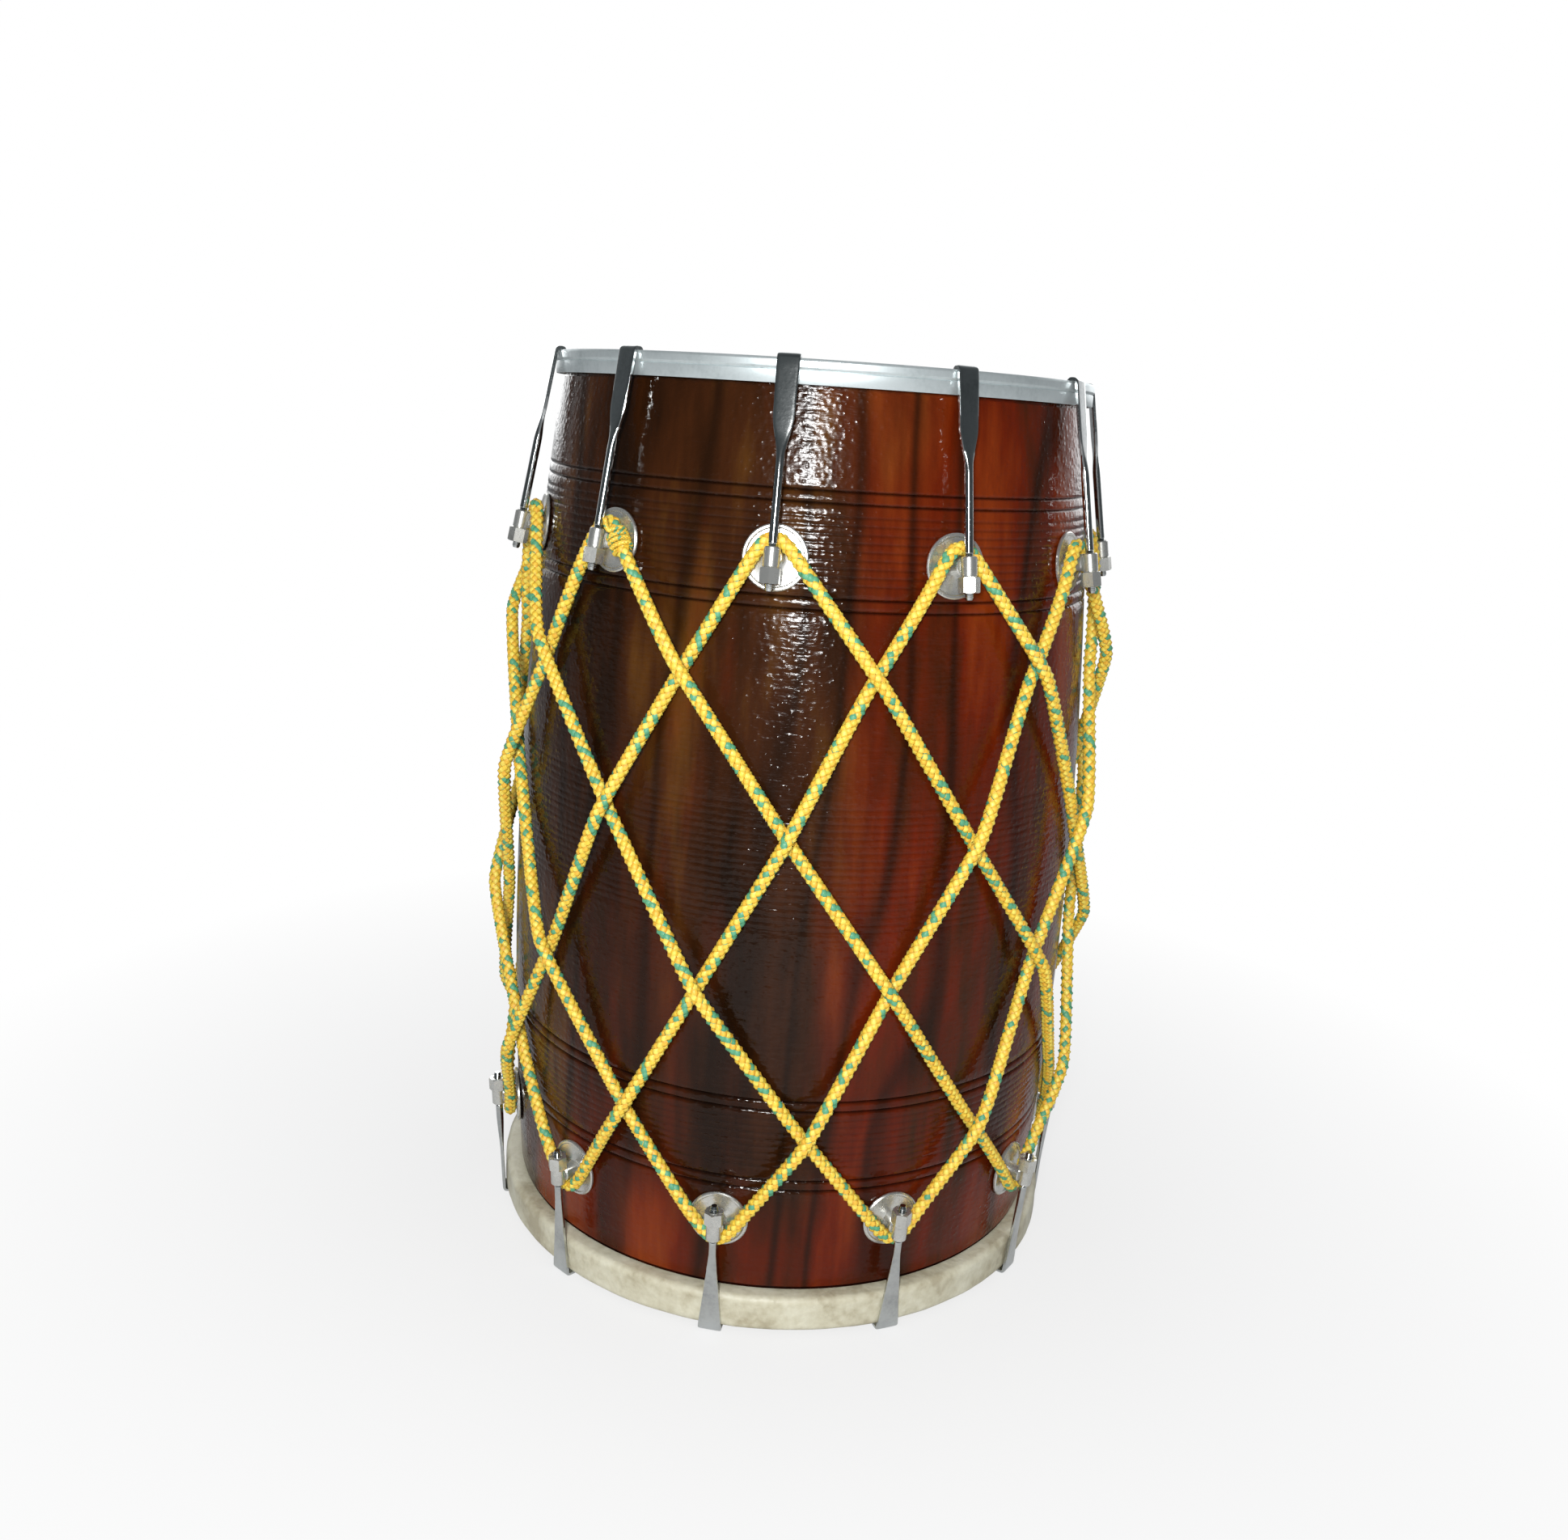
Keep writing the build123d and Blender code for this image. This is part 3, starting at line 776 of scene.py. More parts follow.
@dataclass
class Heads:
    """The two heads: skins, the steel treble hoop and the hide round the bass hoop."""

    palette: Palette
    segments: int = 192
    hide_round: float = 4.2
    hide_wave: float = 0.55

    def treble_skin(self) -> None:
        """The thin head with its lap under the hoop."""
        s = SIZES
        outline = [
            (0.0, 595.0), (172.3, 595.0), (172.3, 587.0), (176.1, 587.0), (176.1, 591.0),
            (175.3, 591.0), (175.3, 587.8), (173.1, 587.8), (173.1, 595.8), (0.0, 595.8),
        ]
        mesh = turned("treble_head", rounded(outline, {8: 0.5}, 2), self.segments)
        piece("treble_head", mesh, self.palette.head_skin, "drum", ("treble_skin",))

    def treble_hoop(self) -> None:
        """The rolled hoop: a flat band below, a raised bead above a fine line, and an inner flange."""
        s = SIZES
        outline = [
            (s.treble_hoop_inner, s.treble_hoop_bottom),
            (s.treble_hoop_outer - 0.3, s.treble_hoop_bottom),
            (s.treble_hoop_outer, s.treble_hoop_bottom + 0.5),
            (s.treble_hoop_outer, 593.2),
            (s.treble_hoop_outer - 0.5, 593.7),
            (s.treble_hoop_outer - 0.1, 594.2),
            (s.treble_bead_outer, 595.2),
            (s.treble_bead_outer, 598.6),
            (s.treble_bead_outer - 0.7, s.hoop_top),
            (s.treble_hoop_inner + 0.6, s.hoop_top),
            (s.treble_hoop_inner, 599.4),
            (s.treble_hoop_inner, 593.0),
            (173.4, 593.0),
            (173.4, s.treble_ring_top),
            (s.treble_hoop_inner, s.treble_ring_top),
        ]
        mesh = turned("treble_hoop_rolled", rounded(outline, {6: 0.8, 7: 0.9, 8: 0.4, 9: 0.3}, 3), self.segments)
        made = ("treble_hoop",)
        piece("treble_hoop_rolled", mesh, self.palette.hoop_steel, "drum", made, sharp=35.0)

    def bass_hide(self) -> None:
        """The bass hide: its flat head and the lap, which swells and puckers round its ring."""
        s = SIZES
        outer = rounded(
            [
                (s.bass_hoop_inner, s.hoop_bottom),
                (s.bass_hoop_outer, s.hoop_bottom),
                (s.bass_hoop_outer, s.bass_hoop_top),
                (s.bass_hoop_inner, s.bass_hoop_top),
            ],
            {0: 1.4, 1: self.hide_round, 2: self.hide_round, 3: 1.0},
            5,
        )
        faces = 8
        side = [point for point in outer if abs(point[0] - s.bass_hoop_outer) < 0.01]
        low, high = min(side, key=lambda p: p[1]), max(side, key=lambda p: p[1])
        first = outer.index(low)
        swell = [(s.bass_hoop_outer, low[1] + (high[1] - low[1]) * k / faces) for k in range(1, faces)]
        outer = outer[: first + 1] + swell + outer[first + 1 :]
        outline = [(0.0, 6.2), (s.bass_hoop_inner, 6.2)] + outer + [(s.bass_hoop_inner, 7.4), (0.0, 7.4)]
        mesh = turned("bass_hide_lap", outline, self.segments)
        for vertex in mesh.vertices:
            radius = math.hypot(vertex.co.x, vertex.co.y) / MM
            if radius < s.bass_hoop_inner + 3.0:
                continue
            height = vertex.co.z / MM
            inward = Vector((vertex.co.x, vertex.co.y, 0)).normalized()
            round_it = inward * 9.0
            lump = noise.noise(round_it + Vector((0, 0, height * 0.09)))
            pucker = noise.noise(round_it * 4.0 + Vector((7, 3, height * 0.22)))
            share = min((radius - s.bass_hoop_inner - 3.0) / 5.0, 1.0)
            vertex.co += inward * ((lump * 0.7 + pucker * 0.45 - 0.45) * self.hide_wave * share * MM)
        nodes = ("bass_skin",)
        piece("bass_hide_lap", mesh, self.palette.hide, "drum", nodes, sharp=75.0)

    def build(self) -> None:
        """Builds both heads, and dresses the two rings that the laps close round."""
        self.treble_skin()
        self.treble_hoop()
        self.bass_hide()
        for name, material in (("treble_ring", self.palette.hoop_steel), ("bass_core", self.palette.core)):
            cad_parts[name].data.materials.clear()
            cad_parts[name].data.materials.append(material)


@dataclass
class Bar:
    """A bar swept along a run in one station's plane, as points and faces."""

    points: list[Vector] = field(default_factory=list)
    faces: list[tuple[int, ...]] = field(default_factory=list)
    ring: int = 16

    def add_ring(self, centre: Point, ahead: Point, width: float, depth: float, edge: float) -> None:
        """Adds one section.

        Args:
            centre: (radius, height) of its middle, in millimetres.
            ahead: the direction of the run there.
            width: its size along the hoop.
            depth: its size in the station's plane.
            edge: 1 for a round section, towards 0 for a flat one with small rounded edges.
        """
        square = (-ahead[1], ahead[0])
        start = len(self.points)
        for k in range(self.ring):
            turn = 2 * math.pi * (k + 0.5) / self.ring
            side = math.copysign(abs(math.cos(turn)) ** edge, math.cos(turn)) * width / 2
            rise = math.copysign(abs(math.sin(turn)) ** edge, math.sin(turn)) * depth / 2
            place = Vector((centre[0] + square[0] * rise, side, centre[1] + square[1] * rise))
            self.points.append(place * MM)
        if start:
            last = start - self.ring
            for k in range(self.ring):
                after = (k + 1) % self.ring
                self.faces.append((last + k, last + after, start + after, start + k))

    def close(self) -> None:
        """Caps both ends."""
        self.faces.insert(0, tuple(range(self.ring))[::-1])
        end = len(self.points)
        self.faces.append(tuple(range(end - self.ring, end)))


def ease(value: float, low: float, high: float) -> float:
    """Smooth share from 0 at low to 1 at high."""
    share = min(max((value - low) / (high - low), 0.0), 1.0)
    return share * share * (3 - 2 * share)


def bent_run(corners: list[Point], radius: float, steps: int = 6) -> list[Point]:
    """An open run of (radius, height) corners with each bend rounded."""
    shaped = rounded(corners, {k: radius for k in range(1, len(corners) - 1)}, steps)
    return shaped


@dataclass
class Hardware:
    """The hooks, nuts and spools of one head."""

    head: Head
    palette: Palette
    thread_pitch: float = 1.0
    thread_depth: float = 0.28
    strip_end: float = 54.0

    @property
    def anchor(self) -> Anchor:
        """The head's anchor."""
        return Anchor.of(self.head)

    def strip_corners(self) -> list[Point]:
        """The corners of the strip's run, from its lip inside the hoop to the start of the rod."""
        s, anchor = SIZES, self.anchor
        half = s.strip_thickness / 2
        if self.head is Head.TREBLE:
            lip = s.treble_hoop_inner - s.fit_gap - half
            over = anchor.on_rod(half / anchor.along[1])
            return [(lip, s.hoop_top - 5.4), (lip, s.hoop_top + half), over, anchor.on_rod(6.0)]
        toe = anchor.corner[0] - 16.0
        under = anchor.on_rod(-(s.hoop_bottom - half) / anchor.along[1])
        return [(toe, half + 4.2), (toe, half), under, anchor.on_rod(6.0)]

    def section(self, distance: float) -> tuple[float, float, float]:
        """Width, depth and edge of the hook at a distance from the hoop's corner."""
        s = SIZES
        rod = 2 * s.rod_radius
        if self.head is Head.TREBLE:
            share = ease(distance, 30.0, self.strip_end)
            width = 13.0 - 0.8 * ease(distance, 0.0, 30.0)
            return width + (rod - width) * share, 2.4 + (rod - 2.4) * ease(distance, 40.0, 58.0), 0.28 + 0.72 * ease(distance, 36.0, 56.0)
        share = min(max(distance - 4.0, 0.0) / 52.0, 1.0) ** 0.8
        width = 15.0 + (rod - 15.0) * share
        return width, 2.4 + (rod - 2.4) * ease(distance, 26.0, 60.0), 0.28 + 0.72 * ease(distance, 30.0, 58.0)

    def hook(self) -> tuple[list[Vector], list[tuple[int, ...]]]:
        """The hook of the station at angle zero."""
        s, anchor = SIZES, self.anchor
        bar = Bar()
        run = bent_run(self.strip_corners(), 2.0)
        width, depth, edge = self.section(0.0)
        for number, point in enumerate(run[:-1]):
            before, after = run[max(number - 1, 0)], run[number + 1]
            way = Vector((after[0] - before[0], after[1] - before[1])).normalized()
            bar.add_ring(point, tuple(way), width, depth, edge)
        distance, end = 6.0, anchor.run + s.eye_length / 2 + s.nut_height + s.rod_past_nut
        thread_from = anchor.run - s.eye_length / 2 - 2.0
        while distance < thread_from:
            bar.add_ring(anchor.on_rod(distance), anchor.along, *self.section(distance))
            distance += 2.5
        turn = 0
        distance = thread_from
        while distance < end - 1.0:
            size = 2 * s.rod_radius - (self.thread_depth * 2 if turn % 2 else 0.0)
            bar.add_ring(anchor.on_rod(distance), anchor.along, size, size, 1.0)
            distance += self.thread_pitch / 2
            turn += 1
        bar.add_ring(anchor.on_rod(end), anchor.along, 2 * s.rod_radius - 1.6, 2 * s.rod_radius - 1.6, 1.0)
        bar.close()
        return bar.points, bar.faces

    def ring_solid(self, rings: list[tuple[float, list[float]]], frame_at: Matrix) -> tuple[list[Vector], list]:
        """Joins rings into one closed tube-like solid.

        Args:
            rings: for each ring its height and its radii, one for each spoke.
            frame_at: where the solid's own frame sits, in metres.

        Returns:
            Points and faces.
        """
        count = len(rings[0][1])
        points, faces = [], []
        for height, radii in rings:
            for k, radius in enumerate(radii):
                turn = 2 * math.pi * k / count
                local = Vector((radius * math.cos(turn), radius * math.sin(turn), height)) * MM
                points.append(frame_at @ local)
        total = len(rings)
        for level in range(total):
            for k in range(count):
                after = (k + 1) % count
                here, there = level * count, (level + 1) % total * count
                faces.append((here + k, here + after, there + after, there + k))
        return points, faces

    def rod_frame(self, distance: float) -> Matrix:
        """A frame on the rod with its z along it, at the station of angle zero."""
        point, along = self.anchor.on_rod(distance), self.anchor.along
        z = Vector((along[0], 0, along[1]))
        x = Vector((0, 1, 0))
        y = z.cross(x)
        frame_at = Matrix((x, y, z)).transposed().to_4x4()
        frame_at.translation = Vector((point[0], 0, point[1])) * MM
        return frame_at

    def disc_frame(self) -> Matrix:
        """A frame on the shell with its z out along the spool's axis."""
        anchor = self.anchor
        z = Vector((anchor.normal[0], 0, anchor.normal[1]))
        x = Vector((0, 1, 0))
        frame_at = Matrix((x, z.cross(x), z)).transposed().to_4x4()
        frame_at.translation = Vector((anchor.foot[0], 0, anchor.foot[1])) * MM
        return frame_at

    def nut(self) -> tuple[list[Vector], list]:
        """The hexagon nut, chamfered at both ends, at the station of angle zero."""
        s = SIZES
        count, flat, bore = 36, s.nut_flats / 2, s.rod_radius + 0.06
        hexagon = [flat / math.cos(math.radians((360 * k / count + 30) % 60 - 30)) for k in range(count)]
        drop = [max(radius - flat - 0.1, 0.0) * 0.62 for radius in hexagon]
        face = [min(radius, flat + 0.1) for radius in hexagon]
        top = s.nut_height
        points, faces = self.ring_solid(
            [
                (0.0, [bore + 0.5] * count), (0.0, face), (0.0, hexagon), (top, hexagon),
                (top, face), (top, [bore + 0.5] * count), (top - 0.5, [bore] * count), (0.5, [bore] * count),
            ],
            Matrix.Identity(4),
        )
        for k in range(count):
            points[2 * count + k].z = drop[k] * MM
            points[3 * count + k].z = (top - drop[k]) * MM
        at = self.rod_frame(self.anchor.run + s.eye_length / 2)
        return [at @ point for point in points], faces

    def spool(self) -> tuple[list[Vector], list]:
        """The spool of angle zero: dished disc with a rolled rim, waisted stem, and the eye on it."""
        s = SIZES
        gap, thick, rim = s.spool_gap, s.disc_thickness, s.disc_radius
        stem_top = gap + thick + s.fit_gap + 2 * s.rope_radius
        profile = [
            (0.0, gap), (rim - 0.5, gap), (rim, gap + 0.5), (rim, gap + thick - 0.7), (rim - 0.7, gap + thick),
            (rim - 1.9, gap + thick), (rim - 2.6, gap + thick - 0.6), (s.stem_radius + 2.2, gap + thick - 0.6),
            (s.stem_radius + 0.3, gap + thick + 0.1), (s.stem_radius, gap + thick + 1.2),
            (s.stem_radius - 0.5, (stem_top + gap + thick) / 2), (s.stem_radius, stem_top - 0.8),
            (s.stem_radius - 0.6, stem_top), (0.0, stem_top),
        ]
        count = 40
        at = self.disc_frame()
        points, faces = [], []
        rings = []
        for radius, height in profile:
            if radius <= 0:
                rings.append([len(points)] * count)
                points.append(at @ (Vector((0, 0, height)) * MM))
                continue
            rings.append(list(range(len(points), len(points) + count)))
            for k in range(count):
                turn = 2 * math.pi * k / count
                points.append(at @ (Vector((radius * math.cos(turn), radius * math.sin(turn), height)) * MM))
        for here, there in zip(rings, rings[1:]):
            for k in range(count):
                after = (k + 1) % count
                faces.append(tuple(dict.fromkeys((here[k], here[after], there[after], there[k]))))
        half, outer, bore = s.eye_length / 2, s.eye_radius, s.rod_radius + 0.25
        eye, eye_faces = self.ring_solid(
            [
                (-half + 0.6, [bore] * 24), (-half, [bore + 0.5] * 24), (-half, [outer - 0.7] * 24),
                (-half + 0.7, [outer] * 24), (half - 0.7, [outer] * 24), (half, [outer - 0.7] * 24),
                (half, [bore + 0.5] * 24), (half - 0.6, [bore] * 24),
            ],
            self.rod_frame(self.anchor.run),
        )
        base = len(points)
        return points + eye, faces + [tuple(base + k for k in corners) for corners in eye_faces]

    def turned_to(self, points: list[Vector], station: int) -> list[Vector]:
        """Points of the station at angle zero, turned to one of the head's stations."""
        turn = Matrix.Rotation(math.radians(SIZES.angle(self.head, station)), 3, "Z")
        return [turn @ point for point in points]

    def build(self) -> None:
        """Builds every hook and nut on its own body, and the head's ring of spools."""
        head = self.head.value
        hook_points, hook_faces = self.hook()
        nut_points, nut_faces = self.nut()
        for station in range(SIZES.stations):
            number = f"{station + 1:02d}"
            for kind, points, faces, finish in (
                ("hook", hook_points, hook_faces, self.palette.steel),
                ("nut", nut_points, nut_faces, self.palette.satin),
            ):
                body = f"{head}_{kind}_{number}"
                name = f"{head}_{kind}_forged_{number}" if kind == "hook" else f"{head}_hex_nut_{number}"
                mesh = mesh_of(name, self.turned_to(points, station), faces)
                piece(name, mesh, finish, body, (body,), sharp=32.0)
        points, faces = self.spool()
        ring = StationRing(self.head).around(mesh_of(f"{head}_spool", points, faces))
        name = f"{head}_spool_ring"
        piece(name, ring, self.palette.satin, "drum", (f"{head}_spools",), sharp=32.0)


def socket_id(group: bpy.types.NodeTree, name: str) -> str:
    """The identifier of a group's named input."""
    for item in group.interface.items_tree:
        if item.item_type == "SOCKET" and item.in_out == "INPUT" and item.name == name:
            return item.identifier
    raise KeyError(name)


def evaluated(host: bpy.types.Object, group: bpy.types.NodeTree, values: dict[str, object]) -> bpy.types.Mesh:
    """Runs a geometry group on an object and keeps only the mesh.

    Args:
        host: the object that carries the input mesh.
        group: the geometry group.
        values: the group's named inputs.

    Returns:
        The result as a plain mesh. The host is removed.
    """
    modifier = host.modifiers.new("shape", "NODES")
    modifier.node_group = group
    for name, value in values.items():
        modifier[socket_id(group, name)] = value
    bpy.context.view_layer.update()
    graph = bpy.context.evaluated_depsgraph_get()
    mesh = bpy.data.meshes.new_from_object(host.evaluated_get(graph), depsgraph=graph)
    bpy.data.objects.remove(host)
    return mesh


def geometry_group(name: str, ins: dict[str, tuple[str, object]]) -> tuple:
    """Starts a geometry group with a geometry in and out, and named inputs.

    Args:
        name: the group's name.
        ins: further inputs, with socket type and default value.

    Returns:
        The group, a bench on it, its input node and its output node.
    """
    group = bpy.data.node_groups.new(name, "GeometryNodeTree")
    group.interface.new_socket("Geometry", in_out="INPUT", socket_type="NodeSocketGeometry")
    for label, (kind, value) in ins.items():
        socket = group.interface.new_socket(label, in_out="INPUT", socket_type=kind)
        if value is not None:
            socket.default_value = value
    group.interface.new_socket("Geometry", in_out="OUTPUT", socket_type="NodeSocketGeometry")
    bench = NodeBench(group)
    return group, bench, bench.put("NodeGroupInput"), bench.put("NodeGroupOutput")


@dataclass
class StationRing:
    """Repeats one station's piece at every station of a head."""

    head: Head

    def tree(self) -> bpy.types.NodeTree:
        """A group that puts its input at each station round the axis."""
        ins = {
            "Stations": ("NodeSocketInt", SIZES.stations),
            "Start": ("NodeSocketFloat", 0.0),
            "Finish": ("NodeSocketMaterial", None),
        }
        group, bench, given, made = geometry_group("station_ring", ins)
        centres = bench.put("GeometryNodePoints", {"Count": given.outputs["Stations"]})
        index = bench.put("GeometryNodeInputIndex").outputs[0]
        share = bench.math("DIVIDE", index, given.outputs["Stations"])
        angle = bench.math("MULTIPLY_ADD", share, 2 * math.pi, given.outputs["Start"])
        turn = bench.put("ShaderNodeCombineXYZ", {"Z": angle})
        placed = bench.put(
            "GeometryNodeInstanceOnPoints",
            {
                "Points": centres.outputs[0],
                "Instance": given.outputs["Geometry"],
                "Rotation": turn.outputs[0],
            },
        )
        real = bench.put("GeometryNodeRealizeInstances", {0: placed.outputs[0]})
        dressed = bench.put(
            "GeometryNodeSetMaterial", {"Geometry": real.outputs[0], "Material": given.outputs["Finish"]}
        )
        group.links.new(dressed.outputs[0], made.inputs["Geometry"])
        return group

    def around(self, mesh: bpy.types.Mesh) -> bpy.types.Mesh:
        """Repeats a mesh of the station at angle zero round the drum."""
        host = bpy.data.objects.new("station_host", mesh)
        bpy.context.scene.collection.objects.link(host)
        return evaluated(host, self.tree(), {"Start": math.radians(SIZES.angle(self.head, 0))})


@dataclass
class Lacing:
    """The one rope: its route round every spool, its braid and the whipping at its ends."""

    palette: Palette
    first_lap: int = -1
    hump: float = 9.0
    lead_reach: float = 24.5
    join_share: float = 0.45
    join_lift: float = 2.3
    end_gap: float = 1.9
    braid_pitch: float = 20.6
    braid_radius: float = 2.75
    braid_wave: float = 0.80
    strand_width: float = 1.62
    strand_depth: float = 1.10
    sample: float = 1.28
    tie_scale: float = 0.36
    tie_turns: int = 4
    tie_radius: float = 5.3
    tie_rise: float = 3.3

    def crossing(self, station: int, number: int, heading: int, over: bool) -> tuple[Point, float]:
        """Where a run from a treble station meets its numbered run of the other heading.

        Args:
            station: the treble station that the run leaves.
            number: which crossing, counted from the treble head.
            heading: 1 towards larger angles on the way down, or -1.
            over: whether this run passes outside the other.

        Returns:
            The (radius, height) point and its angle in degrees.
        """
        s = SIZES
        spread_run = (s.stations_right + s.stations_left) * s.step - 4 * s.lace_spread
        share = (number * s.step - 2 * s.lace_spread) / spread_run
        if heading > 0:
            sweep = s.stations_right * s.step - s.treble_lead - 2 * s.lace_spread
        else:
            sweep = s.stations_left * s.step + s.treble_lead - 2 * s.lace_spread
        angle = s.angle(Head.TREBLE, station) + heading * (s.lace_spread + share * sweep)
        height = s.treble_spool_height + share * (s.bass_spool_height - s.treble_spool_height)
        rise = s.over_height if over else s.under_height
        return (s.shell_radius(height) + rise, height), angle

    def hump_points(self, here: Vector, before: Vector, after: Vector, station_axis: Vector) -> list[Vector]:
        """Two points at a crossing, one each side of it, level with it over the shell."""
        way = (after - before).normalized()
        way = (way - station_axis * way.dot(station_axis)).normalized()
        return [here - way * self.hump * MM, here + way * self.hump * MM]

    def turn_at_spool(self, head: Head, station: int, before: Vector, after: Vector) -> list[Vector]:
        """The corners that take the rope over the disc's rim, round the stem and off again.

        Args:
            head: the spool's head.
            station: its station.
            before: the last point ahead of the spool.
            after: the first point past it.

        Returns:
            Five points in order.
        """
        s, anchor = SIZES, Anchor.of(head)
        angle = s.angle(head, station)
        rise = s.spool_gap + s.disc_thickness + s.fit_gap + s.rope_radius
        ring = s.stem_radius + s.fit_gap + s.rope_radius
        centre = round_axis(anchor.above(rise), angle)
        turn = math.radians(angle)
        round_way = Vector((-math.sin(turn), math.cos(turn), 0))
        up_way = round_axis((-anchor.normal[1], anchor.normal[0]), angle) / MM
        touches, leads = [], []
        for point in (before, after):
            away = ((point - centre).dot(round_way) / MM, (point - centre).dot(up_way) / MM)
            side = 1 if away[0] * away[1] < 0 else -1
            bearing = math.atan2(away[1], away[0]) + side * math.acos(ring / math.hypot(*away))
            touch = (ring * math.cos(bearing), ring * math.sin(bearing))
            lead = (away[0] - touch[0], away[1] - touch[1])
            reach = math.sqrt(self.lead_reach**2 - ring**2) / math.hypot(*lead)
            touches.append(bearing)
            leads.append((touch[0] + lead[0] * reach, touch[1] + lead[1] * reach))
        wrap = touches[1] - touches[0]
        wrap = (wrap + math.pi) % (2 * math.pi) - math.pi
        corners = [leads[0]]
        for share in (1 / 6, 3 / 6, 5 / 6):
            bearing = touches[0] + wrap * share
            reach = ring / math.cos(abs(wrap) / 6)
            corners.append((reach * math.cos(bearing), reach * math.sin(bearing)))
        corners.append(leads[1])
        return [centre + (round_way * x + up_way * y) * MM for x, y in corners]

    def route(self) -> list[Vector]:
        """The rope's points in order, from the whipping round every spool and back to it."""
        s = SIZES
        numbers = range(1, s.stations_right + s.stations_left)
        stops: list[tuple] = []
        station = self.first_lap
        for _ in range(s.stations):
            for number in numbers:
                stops.append(("cross", *self.crossing(station, number, 1, number % 2 == 1)))
            foot = station + s.stations_right
            stops.append(("spool", Head.BASS, foot))
            station = foot + s.stations_left
            for number in reversed(numbers):
                stops.append(("cross", *self.crossing(station, number, -1, number % 2 == 0)))
            stops.append(("spool", Head.TREBLE, station))
        places = []
        for stop in stops:
            if stop[0] == "cross":
                places.append(round_axis(stop[1], stop[2]))
            else:
                anchor = Anchor.of(stop[1])
                places.append(round_axis(anchor.above(7.05), s.angle(stop[1], stop[2])))
        points: list[Vector] = []
        for number, stop in enumerate(stops):
            before, after = places[number - 1], places[(number + 1) % len(stops)]
            if stop[0] == "cross":
                turn = math.radians(stop[2])
                axis = Vector((math.cos(turn), math.sin(turn), 0))
                points += self.hump_points(places[number], before, after, axis)
            else:
                points += self.turn_at_spool(stop[1], stop[2], before, after)
        last, lead = points[-2], points[-1]
        turn = math.radians(s.angle(Head.TREBLE, station))
        lift = Vector((math.cos(turn), math.sin(turn), 0)) * self.join_lift * MM
        middle = last.lerp(lead, self.join_share) + lift
        gap = (lead - last).normalized() * self.end_gap * MM
        return [middle + gap, lead + lift] + points[:-1] + [middle - gap]

    def spline(self, route: list[Vector]) -> bpy.types.Mesh:
        """A smooth line, read from one NURBS spline that follows a route."""
        curve = bpy.data.curves.new("rope_line", "CURVE")
        curve.dimensions = "3D"
        spline = curve.splines.new("NURBS")
        spline.points.add(len(route) - 1)
        for point, place in zip(spline.points, route):
            point.co = (*place, 1.0)
        spline.order_u = 3
        spline.use_endpoint_u = True
        curve.resolution_u = 10
        host = bpy.data.objects.new("rope_line", curve)
        bpy.context.scene.collection.objects.link(host)
        graph = bpy.context.evaluated_depsgraph_get()
        mesh = bpy.data.meshes.new_from_object(host.evaluated_get(graph), depsgraph=graph)
        bpy.data.objects.remove(host)
        return mesh

    def strand_tree(self) -> bpy.types.NodeTree:
        """A group that lays one hand's strands of the braid, opposite each other, round its line."""
        ins = {
            "Strands": ("NodeSocketInt", 2),
            "Sample": ("NodeSocketFloat", 0.0013),
            "Pitch": ("NodeSocketFloat", 0.02),
            "Braid Radius": ("NodeSocketFloat", 0.0027),
            "Wave": ("NodeSocketFloat", 0.0008),
            "Phase": ("NodeSocketFloat", 0.0),
            "Hand": ("NodeSocketFloat", 1.0),
            "Width": ("NodeSocketFloat", 0.0016),
            "Depth": ("NodeSocketFloat", 0.0011),
            "Finish": ("NodeSocketMaterial", None),
        }
        group, bench, given, made = geometry_group("braid_strand", ins)
        wish = given.outputs
        line = bench.put("GeometryNodeMeshToCurve", {0: wish["Geometry"]})
        even = bench.put(
            "GeometryNodeResampleCurve", {"Curve": line.outputs[0], "Length": wish["Sample"]}, mode="LENGTH"
        )
        twins = bench.put(
            "GeometryNodeDuplicateElements", {"Geometry": even.outputs[0], "Amount": wish["Strands"]}, domain="SPLINE"
        )
        twin = twins.outputs["Duplicate Index"]
        length = bench.put("GeometryNodeSplineParameter").outputs["Length"]
        laps = bench.math("DIVIDE", length, wish["Pitch"])
        turn = bench.math("MULTIPLY", laps, 2 * math.pi)
        apart = bench.math("DIVIDE", bench.math("MULTIPLY", twin, 2 * math.pi), wish["Strands"])
        start = bench.math("ADD", apart, wish["Phase"])
        angle = bench.math("MULTIPLY_ADD", turn, wish["Hand"], start)
        weave = bench.math("SINE", bench.math("MULTIPLY", turn, 4.0))
        lift = bench.math("MULTIPLY", weave, bench.math("MULTIPLY", wish["Wave"], wish["Hand"]))
        radius = bench.math("ADD", wish["Braid Radius"], lift)
        normal = bench.put("GeometryNodeInputNormal").outputs[0]
        tangent = bench.put("GeometryNodeInputTangent").outputs[0]
        side = bench.put("ShaderNodeVectorMath", {0: tangent, 1: normal}, operation="CROSS_PRODUCT").outputs[0]
        by_cos = bench.put("ShaderNodeVectorMath", {0: normal, "Scale": bench.math("COSINE", angle)}, operation="SCALE")
        by_sin = bench.put("ShaderNodeVectorMath", {0: side, "Scale": bench.math("SINE", angle)}, operation="SCALE")
        out = bench.put("ShaderNodeVectorMath", {0: by_cos.outputs[0], 1: by_sin.outputs[0]}, operation="ADD")
        kept = bench.put("GeometryNodeCaptureAttribute")
        kept.capture_items.new("VECTOR", "Out")
        group.links.new(twins.outputs[0], kept.inputs["Geometry"])
        group.links.new(out.outputs[0], kept.inputs["Out"])
        knobs = bench.math("MULTIPLY_ADD", laps, 4.0, bench.math("MULTIPLY", twin, 977.0))
